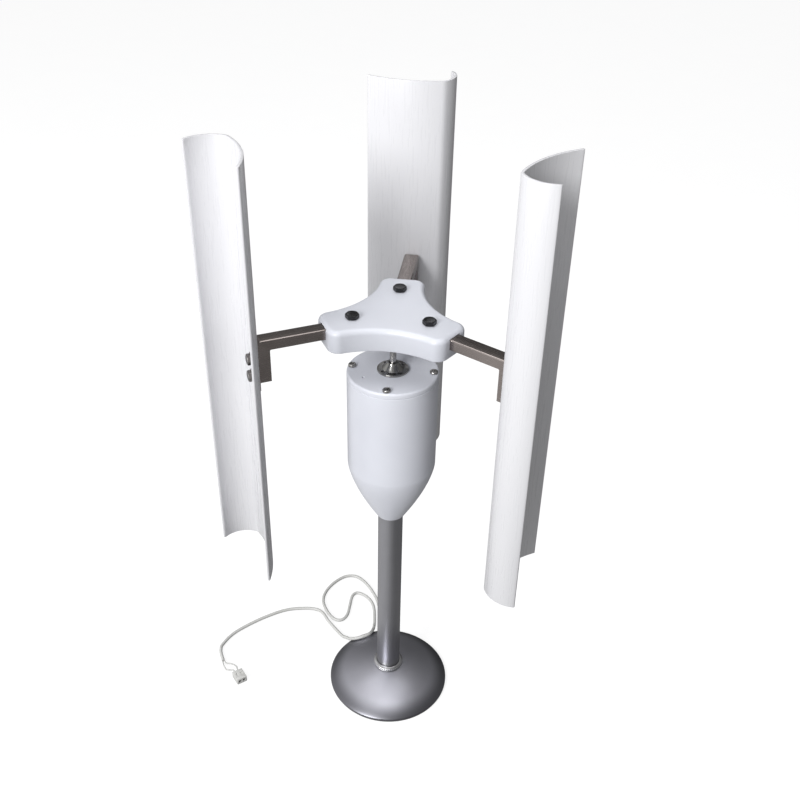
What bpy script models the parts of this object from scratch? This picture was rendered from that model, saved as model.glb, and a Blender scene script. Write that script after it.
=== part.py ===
"""A small vertical axis wind turbine on a weighted stand, in metres, with +Z up.

The origin is the middle of the stand's footprint on the ground, and the axis of the
rotor is the Z axis. A steel tube on a spun base carries a bullet-shaped housing. The
housing holds a three-phase generator, and its shaft carries a three-lobed hub, three
folded arms and three J-section blades.
"""

import math

import bmesh
import bpy
from mathutils import Matrix, Vector

FIT_GAP = 0.0003

# Stand
BASE_RADIUS = 0.0655
BASE_LIP_Z = 0.0016
BASE_LIP_HEIGHT = 0.003
BASE_CROWN_Z = 0.0262
BASE_CROWN_POWER = 1.75
BASE_WALL = 0.002
BASE_STEPS = 8
FOOT_RADIUS, FOOT_HEIGHT = 0.0645, 0.0012
BALLAST_RADIUS, BALLAST_BOTTOM, BALLAST_TOP = 0.041, 0.0090, 0.0145
TUBE_RADIUS, TUBE_WALL = 0.0125, 0.0015
TUBE_BOTTOM, TUBE_TOP = 0.0258, 0.262
COLLAR_RADIUS, COLLAR_BOTTOM, COLLAR_TOP = 0.0163, 0.0256, 0.0298
PLUG_BOTTOM, PLUG_TOP = 0.0266, 0.047
NIPPLE_RADIUS, NIPPLE_BORE = 0.005, 0.0033
NIPPLE_BOTTOM, NIPPLE_TOP = 0.0060, 0.045
LOCK_NUT_FLATS, LOCK_NUT_BOTTOM, LOCK_NUT_TOP = 0.014, 0.0060, 0.0087

# Housing
HOUSING_RADIUS, HOUSING_WALL = 0.0425, 0.0025
HOUSING_TOP = 0.4070
NOSE_CENTRE_Z, NOSE_HEIGHT, NOSE_POWER = 0.310, 0.088, 1.4
NOSE_LIP = 0.0015
SOCKET_TOP = 0.275
COVER_TOP, COVER_EDGE = 0.4125, 0.0018
COVER_TURN = math.radians(-8)
COVER_SCREW_RING = 0.0377
SCREW_BOSS_RADIUS, SCREW_BOSS_BOTTOM = 0.0034, 0.386

# Generator
SHAFT_RADIUS, SHAFT_BOTTOM, SHAFT_TOP = 0.003, 0.3, 0.4665
BEARING_OUTER, BEARING_WIDTH = 0.0095, 0.006
LOWER_BEARING_Z, UPPER_BEARING_Z = 0.309, 0.3950
STATOR_BOTTOM, STATOR_TOP = 0.334, 0.362
STATOR_OUTER, STATOR_RING_INNER, STATOR_BORE = 0.0396, 0.034, 0.0195
TOOTH_WIDTH, COIL_HALF = 0.011, 0.0048
MAGNET_RADIUS, MAGNET_INNER, MAGNET_HALF = 0.0188, 0.0128, 0.0165

# Rotor
ARM_TURN = math.radians(82.3)
BLADE_COUNT = 3
HUB_TOP, HUB_BOTTOM = 0.4735, 0.4525
HUB_REACH, HUB_WAIST, HUB_WAIST_ARC, HUB_CORNER = 0.066, 0.037, 0.080, 0.0105
HUB_ROUND = 0.005
HUB_BORE, HUB_BORE_TOP = 0.0064, 0.4675
HUB_BOLT_RING, HUB_BOLT_RADIUS = 0.039, 0.003
HUB_BOLT_TURN = math.radians(7.7)
ARM_TOP, ARM_DEPTH, ARM_WIDTH, ARM_SHEET = 0.4705, 0.0095, 0.014, 0.0015
ARM_START, ARM_FACE, ARM_BEND = 0.023, 0.1271, 0.0045
LEG_DEPTH, LEG_WALL_END, LEG_END = 0.0115, 0.4300, 0.4220
ARM_NOTCH = 0.001
BLADE_BOTTOM, BLADE_LENGTH, BLADE_WALL = 0.238, 0.400, 0.0025
BLADE_BOLT_RADIUS, BLADE_BOLT_FLANGE, BLADE_HOLE = 0.0025, 0.0062, 0.0028
BLADE_BOLT_HEIGHTS = (0.4515, 0.4350)
BLADE_EDGE = (0.1409, 0.0464)
BLADE_HEADING = -119.4
BLADE_ARCS = ((0.095, 43.2), (0.007, 35.0), (0.026, 78.0))

# Cable
CABLE_RADIUS, CABLE_FLOOR = 0.0020, 0.0024
LEAD_RADIUS = 0.0008
GROMMET_OUTER, GROMMET_BORE = 0.0031, 0.0023
EXIT_HEIGHT, EXIT_TURN = 0.0046, math.radians(92)
CABLE_GROUND = (
    (-0.0040, 0.0800),
    (-0.0085, 0.0930),
    (-0.0120, 0.1050),
    (-0.0170, 0.1230),
    (-0.0290, 0.1450),
    (-0.0420, 0.1575),
    (-0.0560, 0.1575),
    (-0.0690, 0.1470),
    (-0.0790, 0.1310),
    (-0.0820, 0.1140),
    (-0.0760, 0.0960),
    (-0.0665, 0.0835),
    (-0.0575, 0.0820),
    (-0.0510, 0.0910),
    (-0.0485, 0.1070),
    (-0.0460, 0.1230),
    (-0.0395, 0.1285),
    (-0.0275, 0.1215),
    (-0.0195, 0.1070),
    (-0.0175, 0.0846),
    (-0.0185, 0.0640),
    (-0.0235, 0.0490),
    (-0.0390, 0.0440),
    (-0.0530, 0.0540),
    (-0.0640, 0.0670),
    (-0.0740, 0.0810),
    (-0.0810, 0.0930),
    (-0.0890, 0.0985),
    (-0.1036, 0.1000),
    (-0.1280, 0.0960),
    (-0.1570, 0.0800),
    (-0.1840, 0.0580),
    (-0.1960, 0.0390),
    (-0.1970, 0.0310),
    (-0.1955, 0.0240),
    (-0.1915, 0.0140),
)
LEAD_STARTS = (
    ((-0.1904, 0.0139), (-0.1875, 0.0108), (-0.1815, 0.0098), (-0.1755, 0.0065)),
    ((-0.1923, 0.0132), (-0.1897, 0.0065), (-0.1856, 0.0010)),
)
PLUG_BACK, PLUG_TURN = (-0.1730, -0.0040, 0.0046), math.radians(-57)
PLUG_LENGTH, PLUG_WIDTH, PLUG_HEIGHT, PLUG_PITCH = 0.014, 0.012, 0.008, 0.005


def clear_scene():
    for obj in list(bpy.data.objects):
        bpy.data.objects.remove(obj, do_unlink=True)


def finish(name, colour, roughness, metallic=0.0, coat=0.0):
    """A Principled BSDF material."""
    material = bpy.data.materials.new(name)
    material.use_nodes = True
    shader = material.node_tree.nodes["Principled BSDF"]
    shader.inputs["Base Color"].default_value = (*colour, 1.0)
    shader.inputs["Roughness"].default_value = roughness
    shader.inputs["Metallic"].default_value = metallic
    shader.inputs["Coat Weight"].default_value = coat
    material.diffuse_color = (*colour, 1.0)
    return material


def new_object(name, data, parent=None, place=Matrix.Identity(4)):
    """Adds an object. One with a parent is a piece, and gets a finish of its own."""
    obj = bpy.data.objects.new(name, data)
    bpy.context.scene.collection.objects.link(obj)
    obj.parent = parent
    obj.matrix_basis = place
    if parent:
        slot = obj.material_slots[0]
        slot.link = "OBJECT"
        slot.material = data.materials[0].copy()
        slot.material.name = f"{name}_finish"
    return obj


def mesh_of(name, bm, material, smooth_angle=35.0):
    """Closes a bmesh into a mesh with outward normals, one material and sharp corners."""
    bmesh.ops.recalc_face_normals(bm, faces=bm.faces)
    mesh = bpy.data.meshes.new(name)
    bm.to_mesh(mesh)
    bm.free()
    mesh.materials.append(material)
    mesh.shade_smooth()
    mesh.set_sharp_from_angle(angle=math.radians(smooth_angle))
    return mesh


def radius_at(radius, angle):
    return radius(angle) if callable(radius) else radius


def hexagon(across_flats):
    """The radius of a hexagon at each angle."""
    def radius(angle):
        return across_flats / 2 / math.cos((angle + math.pi / 6) % (math.pi / 3) - math.pi / 6)
    return radius


def circle(radius, sides):
    """Points round a circle, or round a shape whose radius is a function of the angle."""
    points = []
    for step in range(sides):
        angle = 2 * math.pi * step / sides
        reach = radius_at(radius, angle)
        points.append((reach * math.cos(angle), reach * math.sin(angle)))
    return points


def rounded_rectangle(half_x, half_y, corner, steps=3):
    """Points round a rectangle with rounded corners."""
    points = []
    quarters = ((1, 1), (-1, 1), (-1, -1), (1, -1))
    for number, (side_x, side_y) in enumerate(quarters):
        centre_x = side_x * (half_x - corner)
        centre_y = side_y * (half_y - corner)
        for step in range(steps + 1):
            angle = math.pi / 2 * (number + step / steps)
            points.append((centre_x + corner * math.cos(angle), centre_y + corner * math.sin(angle)))
    return points


def loft(name, loops, material, ring=False):
    """A solid through a list of (loop of points, height).

    A plain one runs from its first loop to its last, with a flat end at each. With ring
    set, the last loop joins the first, and the solid has a hole along its axis.
    """
    bm = bmesh.new()
    rows = [[bm.verts.new((x, y, height)) for x, y in loop] for loop, height in loops]
    pairs = list(zip(rows, rows[1:]))
    if ring:
        pairs.append((rows[-1], rows[0]))
    else:
        bm.faces.new(rows[0])
        bm.faces.new(rows[-1])
    for low, high in pairs:
        for step in range(len(low)):
            after = (step + 1) % len(low)
            bm.faces.new((low[step], low[after], high[after], high[step]))
    return mesh_of(name, bm, material)


def turned(name, stations, material, sides=48, ring=False):
    """A solid through circles, one at each (radius, height) station."""
    loops = [(circle(radius, sides), height) for radius, height in stations]
    return loft(name, loops, material, ring)


def tube(name, inner, outer, bottom, top, material, sides=48, edge=0.0):
    """A straight ring with an optional small chamfer on its outer edges."""
    if edge:
        side = [(outer - edge, bottom), (outer, bottom + edge), (outer, top - edge), (outer - edge, top)]
    else:
        side = [(outer, bottom), (outer, top)]
    return turned(name, [(inner, bottom), *side, (inner, top)], material, sides, ring=True)


def extruded(name, outline, bottom, top, material, smooth_angle=35.0):
    """A flat outline, raised from one height to another."""
    bm = bmesh.new()
    face = bm.faces.new([bm.verts.new((x, y, bottom)) for x, y in outline])
    lifted = bmesh.ops.extrude_face_region(bm, geom=[face])["geom"]
    upper = [item for item in lifted if isinstance(item, bmesh.types.BMVert)]
    bmesh.ops.translate(bm, verts=upper, vec=(0, 0, top - bottom))
    return mesh_of(name, bm, material, smooth_angle)


def box(name, low, high, material):
    outline = ((low[0], low[1]), (high[0], low[1]), (high[0], high[1]), (low[0], high[1]))
    return extruded(name, outline, low[2], high[2], material)


def boolean(target, other, operation="DIFFERENCE"):
    """Cuts or joins a helper object, which stays hidden in a render."""
    other.hide_render = True
    other.display_type = "WIRE"
    modifier = target.modifiers.new(f"{operation.lower()}_{other.name}", "BOOLEAN")
    modifier.operation = operation
    modifier.solver = "EXACT"
    modifier.object = other


def helper(name, mesh, place=Matrix.Identity(4)):
    return new_object(name, mesh, None, place)


def frozen(obj, name, smooth_angle=35.0):
    """The mesh of an object with its modifiers applied, and the object removed."""
    bpy.context.view_layer.update()
    graph = bpy.context.evaluated_depsgraph_get()
    mesh = bpy.data.meshes.new_from_object(obj.evaluated_get(graph))
    mesh.name = name
    mesh.shade_smooth()
    mesh.set_sharp_from_angle(angle=math.radians(smooth_angle))
    bpy.data.objects.remove(obj, do_unlink=True)
    return mesh


def turn(angle):
    return Matrix.Rotation(angle, 4, "Z")


def shift(x, y, z):
    return Matrix.Translation((x, y, z))


def outward(radius, height):
    """Lays a helper's own Z axis along +X, at a distance from the axis and a height."""
    return shift(radius, 0, height) @ Matrix.Rotation(math.pi / 2, 4, "Y")


def arm_angle(number):
    return ARM_TURN + 2 * math.pi * number / BLADE_COUNT


def polar_copies(name, mesh, parent, count, first_angle, place=Matrix.Identity(4)):
    """Copies of one piece, evenly spaced round the axis."""
    for number in range(count):
        around = turn(first_angle + 2 * math.pi * number / count)
        new_object(f"{name}_{number + 1}", mesh, parent, around @ place)


# ---------------------------------------------------------------- stand


def base_height(radius):
    """The height of the base's outer surface at a distance from its axis."""
    rise = BASE_CROWN_Z - BASE_LIP_Z - BASE_LIP_HEIGHT
    share = 1 - (min(radius, BASE_RADIUS) / BASE_RADIUS) ** BASE_CROWN_POWER
    return BASE_LIP_Z + BASE_LIP_HEIGHT + rise * share ** 0.85


def build_base(parent, metal):
    inner_rim = BASE_RADIUS - BASE_WALL
    bore = NIPPLE_RADIUS + FIT_GAP
    outer = []
    for step in range(BASE_STEPS + 1):
        radius = bore + (BASE_RADIUS - bore) * math.sin(math.pi / 2 * step / BASE_STEPS)
        outer.append((radius, base_height(radius)))
    under = [(radius * inner_rim / BASE_RADIUS, height - BASE_WALL) for radius, height in outer[::2]]
    under[0] = (bore, under[0][1])
    stations = outer + [(BASE_RADIUS, BASE_LIP_Z), (inner_rim, BASE_LIP_Z)] + under[::-1]
    base = new_object("base_dome", turned("base_dome", stations, metal, 48, ring=True), parent)
    slot_half = GROMMET_OUTER + FIT_GAP
    slot = box(
        "cable_slot",
        (BASE_RADIUS - 0.0095, -slot_half, -0.001),
        (BASE_RADIUS + 0.003, slot_half, EXIT_HEIGHT + slot_half),
        metal,
    )
    boolean(base, helper("cable_slot_cutter", slot, turn(EXIT_TURN)))


def build_weight(parent, steel, rubber):
    bore = NIPPLE_RADIUS + FIT_GAP
    edge = FOOT_HEIGHT / 4
    rim = [(FOOT_RADIUS - edge, 0.0), (FOOT_RADIUS, edge), (FOOT_RADIUS, FOOT_HEIGHT)]
    new_object("foot_pad", turned("foot_pad", rim, rubber), parent)
    ballast = tube("ballast_disc", bore, BALLAST_RADIUS, BALLAST_BOTTOM, BALLAST_TOP, steel, 36)
    new_object("ballast_disc", ballast, parent)
    lock_nut = tube(
        "base_lock_nut", bore, hexagon(LOCK_NUT_FLATS), LOCK_NUT_BOTTOM, LOCK_NUT_TOP, steel, 18
    )
    new_object("base_lock_nut", lock_nut, parent)


def build_tube(parent, satin, chrome, brass):
    plug_radius = TUBE_RADIUS - TUBE_WALL - FIT_GAP
    bore = NIPPLE_RADIUS + FIT_GAP
    stand_tube = tube(
        "stand_tube", TUBE_RADIUS - TUBE_WALL, TUBE_RADIUS, TUBE_BOTTOM, TUBE_TOP, satin, 40
    )
    new_object("stand_tube", stand_tube, parent)
    plug = tube("tube_plug", bore, plug_radius, PLUG_BOTTOM, PLUG_TOP, brass, 20)
    new_object("tube_plug", plug, parent)
    nipple = tube(
        "threaded_nipple", NIPPLE_BORE, NIPPLE_RADIUS, NIPPLE_BOTTOM, NIPPLE_TOP, brass, 18
    )
    new_object("threaded_nipple", nipple, parent)
    height = COLLAR_TOP - COLLAR_BOTTOM
    inner = TUBE_RADIUS + FIT_GAP
    collar = [
        (inner, COLLAR_BOTTOM),
        (COLLAR_RADIUS, COLLAR_BOTTOM),
        (COLLAR_RADIUS, COLLAR_BOTTOM + 0.4 * height),
        (COLLAR_RADIUS - 0.0008, COLLAR_BOTTOM + 0.75 * height),
        (COLLAR_RADIUS - 0.0022, COLLAR_TOP),
        (inner, COLLAR_TOP),
    ]
    new_object("base_collar", turned("base_collar", collar, chrome, 36, ring=True), parent)


# ---------------------------------------------------------------- housing


def nose_radius(height, radius):
    """The radius of the housing's pointed nose at a height, for the outer or inner skin."""
    drop = (NOSE_CENTRE_Z - height) / NOSE_HEIGHT
    return radius * (1 - max(0.0, drop) ** NOSE_POWER)


def nose_height(radius, widest):
    """The height at which the nose has closed from its widest radius to this one."""
    return NOSE_CENTRE_Z - NOSE_HEIGHT * (1 - radius / widest) ** (1 / NOSE_POWER)


def build_housing(parent, plastic):
    inner_radius = HOUSING_RADIUS - HOUSING_WALL
    socket = TUBE_RADIUS + FIT_GAP
    sleeve = socket + 0.003
    steps = 7
    lowest = nose_height(socket + NOSE_LIP, HOUSING_RADIUS)
    joint = nose_height(sleeve, inner_radius)
    outer = [(HOUSING_RADIUS, HOUSING_TOP), (HOUSING_RADIUS, NOSE_CENTRE_Z)]
    inner = [(inner_radius, HOUSING_TOP), (inner_radius, NOSE_CENTRE_Z)]
    for step in range(1, steps + 1):
        share = step / steps
        z_outer = NOSE_CENTRE_Z + (lowest - NOSE_CENTRE_Z) * share
        outer.append((nose_radius(z_outer, HOUSING_RADIUS), z_outer))
        if step % 2 == 1:
            z_inner = NOSE_CENTRE_Z + (joint + 0.003 - NOSE_CENTRE_Z) * share
            inner.append((nose_radius(z_inner, inner_radius), z_inner))
    inner[-1] = (sleeve, inner[-1][1])
    sleeve_ring = [(sleeve, SOCKET_TOP), (socket, SOCKET_TOP)]
    stations = outer + [(socket, lowest)] + sleeve_ring[::-1] + inner[::-1]
    shell = new_object("housing_shell", turned("housing_shell", stations, plastic, 36, ring=True), parent)
    boss = turned(
        "screw_boss",
        [(SCREW_BOSS_RADIUS, SCREW_BOSS_BOTTOM), (SCREW_BOSS_RADIUS, HOUSING_TOP - 0.004)],
        plastic,
        14,
    )
    hole = turned(
        "screw_hole", [(0.0019, SCREW_BOSS_BOTTOM + 0.003), (0.0019, HOUSING_TOP)], plastic, 10
    )
    for number in range(4):
        place = turn(COVER_TURN + math.pi / 2 * number) @ shift(COVER_SCREW_RING, 0, 0)
        boolean(shell, helper(f"screw_boss_{number}", boss, place), "UNION")
    for number in range(4):
        place = turn(COVER_TURN + math.pi / 2 * number) @ shift(COVER_SCREW_RING, 0, 0)
        boolean(shell, helper(f"screw_hole_{number}", hole, place))


def build_cover(parent, plastic, steel):
    bearing_seat = BEARING_OUTER + FIT_GAP
    spigot = HOUSING_RADIUS - HOUSING_WALL - FIT_GAP
    rim_bottom = HOUSING_TOP + FIT_GAP
    seat_bottom = UPPER_BEARING_Z - 0.0012
    seat_top = UPPER_BEARING_Z + BEARING_WIDTH + FIT_GAP
    boss = BEARING_OUTER + 0.0035
    stations = [
        (SHAFT_RADIUS + 0.0015, seat_top),
        (SHAFT_RADIUS + 0.0015, COVER_TOP),
        (HOUSING_RADIUS - COVER_EDGE, COVER_TOP),
        (HOUSING_RADIUS - 0.3 * COVER_EDGE, COVER_TOP - 0.3 * COVER_EDGE),
        (HOUSING_RADIUS, COVER_TOP - COVER_EDGE),
        (HOUSING_RADIUS, rim_bottom),
        (spigot, rim_bottom),
        (spigot, rim_bottom - 0.003),
        (spigot - 0.002, rim_bottom - 0.003),
        (spigot - 0.002, rim_bottom),
        (boss, rim_bottom),
        (boss, seat_bottom),
        (bearing_seat, seat_bottom),
        (bearing_seat, seat_top),
    ]
    cover = new_object("housing_cover", turned("housing_cover", stations, plastic, 36, ring=True), parent)
    through = turned("cover_hole", [(0.0018, HOUSING_TOP - 0.006), (0.0018, COVER_TOP + 0.002)], plastic, 10)
    vent = turned("vent", [(0.0012, HOUSING_TOP), (0.0012, COVER_TOP + 0.002)], plastic, 10)
    for number in range(4):
        place = turn(COVER_TURN + math.pi / 2 * number) @ shift(COVER_SCREW_RING, 0, 0)
        boolean(cover, helper(f"cover_hole_{number}", through, place))
    vent_angle = COVER_TURN + math.radians(216)
    boolean(cover, helper("vent_cutter", vent, turn(vent_angle) @ shift(0.030, 0, 0)))
    under = COVER_TOP + FIT_GAP
    screw = screw_mesh("cover_screw", 0.0038, 0.0025, 0.0015, under, HOUSING_TOP - 0.014, steel)
    place = shift(COVER_SCREW_RING, 0, 0)
    polar_copies("cover_screw", screw, parent, 4, COVER_TURN, place)


def screw_mesh(name, head_radius, head_height, shank_radius, under_head, tip, metal):
    """A pan-head screw along Z, with a cross recess in its head."""
    top = under_head + head_height
    stations = [
        (shank_radius * 0.6, tip),
        (shank_radius, tip + 0.0008),
        (shank_radius, under_head),
        (head_radius, under_head),
        (head_radius, under_head + 0.35 * head_height),
        (head_radius * 0.86, under_head + 0.75 * head_height),
        (head_radius * 0.55, top),
    ]
    screw = helper(name, turned(name, stations, metal, 12))
    for number, angle in enumerate((0.0, math.pi / 2)):
        blade = box(
            "recess",
            (-0.6 * head_radius, -0.0004, top - 0.0011),
            (0.6 * head_radius, 0.0004, top + 0.001),
            metal,
        )
        boolean(screw, helper(f"{name}_recess_{number}", blade, turn(angle)))
    return frozen(screw, name)


def build_flange(parent, chrome):
    """The bearing flange on the cover, with four holes and a short cone round the shaft."""
    inner = SHAFT_RADIUS + 0.0006
    bottom = COVER_TOP + FIT_GAP
    stations = [
        (inner, bottom),
        (0.0146, bottom),
        (0.0146, bottom + 0.0012),
        (0.0139, bottom + 0.0018),
        (0.0098, bottom + 0.0018),
        (0.0058, bottom + 0.0070),
        (0.0050, bottom + 0.0082),
        (inner, bottom + 0.0082),
    ]
    flange = new_object("bearing_flange", turned("bearing_flange", stations, chrome, 24, ring=True), parent)
    hole = turned("flange_hole", [(0.0012, bottom - 0.001), (0.0012, bottom + 0.003)], chrome, 8)
    for number in range(4):
        place = turn(math.radians(37) + math.pi / 2 * number) @ shift(0.0113, 0, 0)
        boolean(flange, helper(f"flange_hole_{number}", hole, place))


# ---------------------------------------------------------------- generator


def bearing_race(name, inner, outer, bottom, metal):
    return tube(name, inner, outer, bottom, bottom + BEARING_WIDTH, metal, 24)


def build_bearings(stand, rotor, steel):
    race_inner = SHAFT_RADIUS + 0.0002
    for name, bottom in (("lower_bearing", LOWER_BEARING_Z), ("upper_bearing", UPPER_BEARING_Z)):
        outer = bearing_race(f"{name}_outer_race", 0.0076, BEARING_OUTER, bottom, steel)
        new_object(f"{name}_outer_race", outer, stand)
        inner = bearing_race(f"{name}_inner_race", race_inner, 0.0054, bottom, steel)
        new_object(f"{name}_inner_race", inner, rotor)


def build_bracket(parent, aluminium):
    """The plate under the generator: a seat for the lower bearing, and a rim for the stator."""
    rim = STATOR_OUTER
    seat = BEARING_OUTER + FIT_GAP
    floor_bottom = 0.3045
    stations = [
        (0.0065, floor_bottom),
        (rim - 0.0028, floor_bottom),
        (rim, floor_bottom + 0.006),
        (rim, STATOR_BOTTOM - FIT_GAP),
        (rim - 0.0035, STATOR_BOTTOM - FIT_GAP),
        (rim - 0.0035, floor_bottom + 0.003),
        (seat + 0.003, floor_bottom + 0.003),
        (seat + 0.003, LOWER_BEARING_Z + BEARING_WIDTH),
        (seat, LOWER_BEARING_Z + BEARING_WIDTH),
        (seat, LOWER_BEARING_Z - FIT_GAP),
        (0.0065, LOWER_BEARING_Z - FIT_GAP),
    ]
    bracket = new_object(
        "bearing_bracket", turned("bearing_bracket", stations, aluminium, 30, ring=True), parent
    )
    window = turned("window", [(0.0075, floor_bottom - 0.002), (0.0075, floor_bottom + 0.005)], aluminium, 12)
    for number in range(4):
        place = turn(0.4 + math.pi / 2 * number) @ shift(0.0245, 0, 0)
        boolean(bracket, helper(f"window_{number}", window, place))


def build_stator(parent, steel, copper):
    ring = tube("stator_core", STATOR_RING_INNER, STATOR_OUTER, STATOR_BOTTOM, STATOR_TOP, steel, 42)
    stator = new_object("stator_core", ring, parent)
    tooth = box(
        "tooth",
        (STATOR_BORE - 0.002, -TOOTH_WIDTH / 2, STATOR_BOTTOM),
        (STATOR_RING_INNER + 0.0025, TOOTH_WIDTH / 2, STATOR_TOP),
        steel,
    )
    for number in range(3):
        boolean(stator, helper(f"tooth_{number}", tooth, turn(2 * math.pi * number / 3)), "UNION")
    ends = [(STATOR_BORE, STATOR_BOTTOM - 0.002), (STATOR_BORE, STATOR_TOP + 0.002)]
    bore = turned("bore", ends, steel, 42)
    boolean(stator, helper("stator_bore", bore))
    half_height = (STATOR_TOP - STATOR_BOTTOM) / 2
    inner = rounded_rectangle(half_height + 0.0008, TOOTH_WIDTH / 2 + 0.0008, 0.0007)
    outer = rounded_rectangle(half_height + 0.0055, TOOTH_WIDTH / 2 + 0.0055, 0.0045)
    faces = ((inner, -COIL_HALF), (outer, -COIL_HALF), (outer, COIL_HALF), (inner, COIL_HALF))
    coil = loft("phase_coil", faces, copper, ring=True)
    middle = (STATOR_BOTTOM + STATOR_TOP) / 2
    polar_copies("phase_coil", coil, parent, 3, 0.0, outward(0.0270, middle))


def build_generator_rotor(parent, steel, magnet):
    shaft = [
        (SHAFT_RADIUS - 0.0005, SHAFT_BOTTOM),
        (SHAFT_RADIUS, SHAFT_BOTTOM + 0.0005),
        (SHAFT_RADIUS, SHAFT_TOP - 0.0005),
        (SHAFT_RADIUS - 0.0005, SHAFT_TOP),
    ]
    new_object("main_shaft", turned("main_shaft", shaft, steel, 20), parent)
    middle = (STATOR_BOTTOM + STATOR_TOP) / 2
    shaft_fit = SHAFT_RADIUS + 0.0002
    low, high = middle - MAGNET_HALF, middle + MAGNET_HALF
    core = [
        (shaft_fit, LOWER_BEARING_Z + BEARING_WIDTH + 0.0008),
        (0.0052, LOWER_BEARING_Z + BEARING_WIDTH + 0.0008),
        (0.0052, low),
        (MAGNET_INNER - FIT_GAP, low),
        (MAGNET_INNER - FIT_GAP, high),
        (0.0052, high),
        (0.0052, UPPER_BEARING_Z - 0.0008),
        (shaft_fit, UPPER_BEARING_Z - 0.0008),
    ]
    new_object("rotor_core", turned("rotor_core", core, steel, 24, ring=True), parent)
    ring = tube("ring_magnet", MAGNET_INNER, MAGNET_RADIUS, low, high, magnet, 32)
    new_object("ring_magnet", ring, parent)


# ---------------------------------------------------------------- rotor


def arc_points(centre, radius, start, end, steps):
    """Points on an arc from one angle to another."""
    points = []
    for step in range(steps + 1):
        angle = start + (end - start) * step / steps
        points.append(Vector((centre[0] + radius * math.cos(angle), centre[1] + radius * math.sin(angle))))
    return points


def lobe_outline():
    """The hub's outline: blunt lobes along the arms, with a long concave arc between them."""
    third = 2 * math.pi / BLADE_COUNT
    waist_centre = HUB_WAIST + HUB_WAIST_ARC
    centre = Vector((waist_centre * math.cos(third / 2), waist_centre * math.sin(third / 2)))
    corner_x = HUB_REACH - HUB_CORNER
    reach = HUB_WAIST_ARC + HUB_CORNER
    corner_y = centre.y - math.sqrt(reach**2 - (corner_x - centre.x) ** 2)
    corner = Vector((corner_x, corner_y))
    touch = math.atan2(centre.y - corner_y, centre.x - corner_x)
    lobe = arc_points((corner_x, -corner_y), HUB_CORNER, -touch, 0.0, 4)
    lobe += arc_points(corner, HUB_CORNER, 0.0, touch, 4)
    waist_start = touch - math.pi
    middle = third / 2 - math.pi
    waist = arc_points(centre, HUB_WAIST_ARC, waist_start, 2 * middle - waist_start, 10)[1:-1]
    outline = []
    for number in range(BLADE_COUNT):
        around = Matrix.Rotation(third * number, 2)
        outline += [around @ point for point in lobe + waist]
    return outline


def round_rim(mesh, top, bottom):
    """Rounds the hub's upper edge, and breaks its lower one."""
    bm = bmesh.new()
    bm.from_mesh(mesh)
    for height, width, segments in ((top, HUB_ROUND, 3), (bottom, 0.001, 1)):
        rim = [edge for edge in bm.edges if all(abs(vert.co.z - height) < 1e-6 for vert in edge.verts)]
        bmesh.ops.bevel(bm, geom=rim, offset=width, segments=segments, profile=0.5, affect="EDGES")
    bm.to_mesh(mesh)
    bm.free()
    mesh.shade_smooth()
    mesh.set_sharp_from_angle(angle=math.radians(35))


def build_hub(parent, plastic, steel, black):
    mesh = extruded("hub", lobe_outline(), HUB_BOTTOM, HUB_TOP, plastic)
    round_rim(mesh, HUB_TOP, HUB_BOTTOM)
    hub = new_object("hub", mesh, parent, turn(ARM_TURN))
    bore = turned("bore", [(HUB_BORE, HUB_BOTTOM - 0.001), (HUB_BORE, HUB_BORE_TOP)], plastic, 20)
    boolean(hub, helper("hub_bore", bore))
    pocket_gap = 0.0004
    pocket = box(
        "pocket",
        (ARM_START - 0.001, -ARM_WIDTH / 2 - pocket_gap, ARM_TOP - ARM_DEPTH - pocket_gap),
        (HUB_REACH + 0.002, ARM_WIDTH / 2 + pocket_gap, ARM_TOP + pocket_gap),
        plastic,
    )
    clearance = HUB_BOLT_RADIUS + 0.0003
    hole = turned("hole", [(clearance, HUB_BOTTOM - 0.002), (clearance, HUB_TOP + 0.002)], plastic, 12)
    for number in range(BLADE_COUNT):
        around = turn(arm_angle(number))
        boolean(hub, helper(f"arm_pocket_{number}", pocket, around))
        boolean(hub, helper(f"hub_bolt_hole_{number}", hole, around @ shift(HUB_BOLT_RING, 0, 0)))
    bolt = hex_bolt("hub_bolt", 0.011, 0.0042, HUB_BOLT_RADIUS, HUB_TOP + FIT_GAP, 0.4445, black)
    bolt_place = shift(HUB_BOLT_RING, 0, 0) @ turn(HUB_BOLT_TURN)
    polar_copies("hub_bolt", bolt, parent, BLADE_COUNT, ARM_TURN, bolt_place)
    nut_top = HUB_BOTTOM - FIT_GAP
    nut = hex_nut("hub_nut", 0.010, HUB_BOLT_RADIUS, nut_top - 0.005, nut_top, black)
    polar_copies("hub_nut", nut, parent, BLADE_COUNT, ARM_TURN, shift(HUB_BOLT_RING, 0, 0))
    build_shaft_bush(parent, steel, black)


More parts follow.
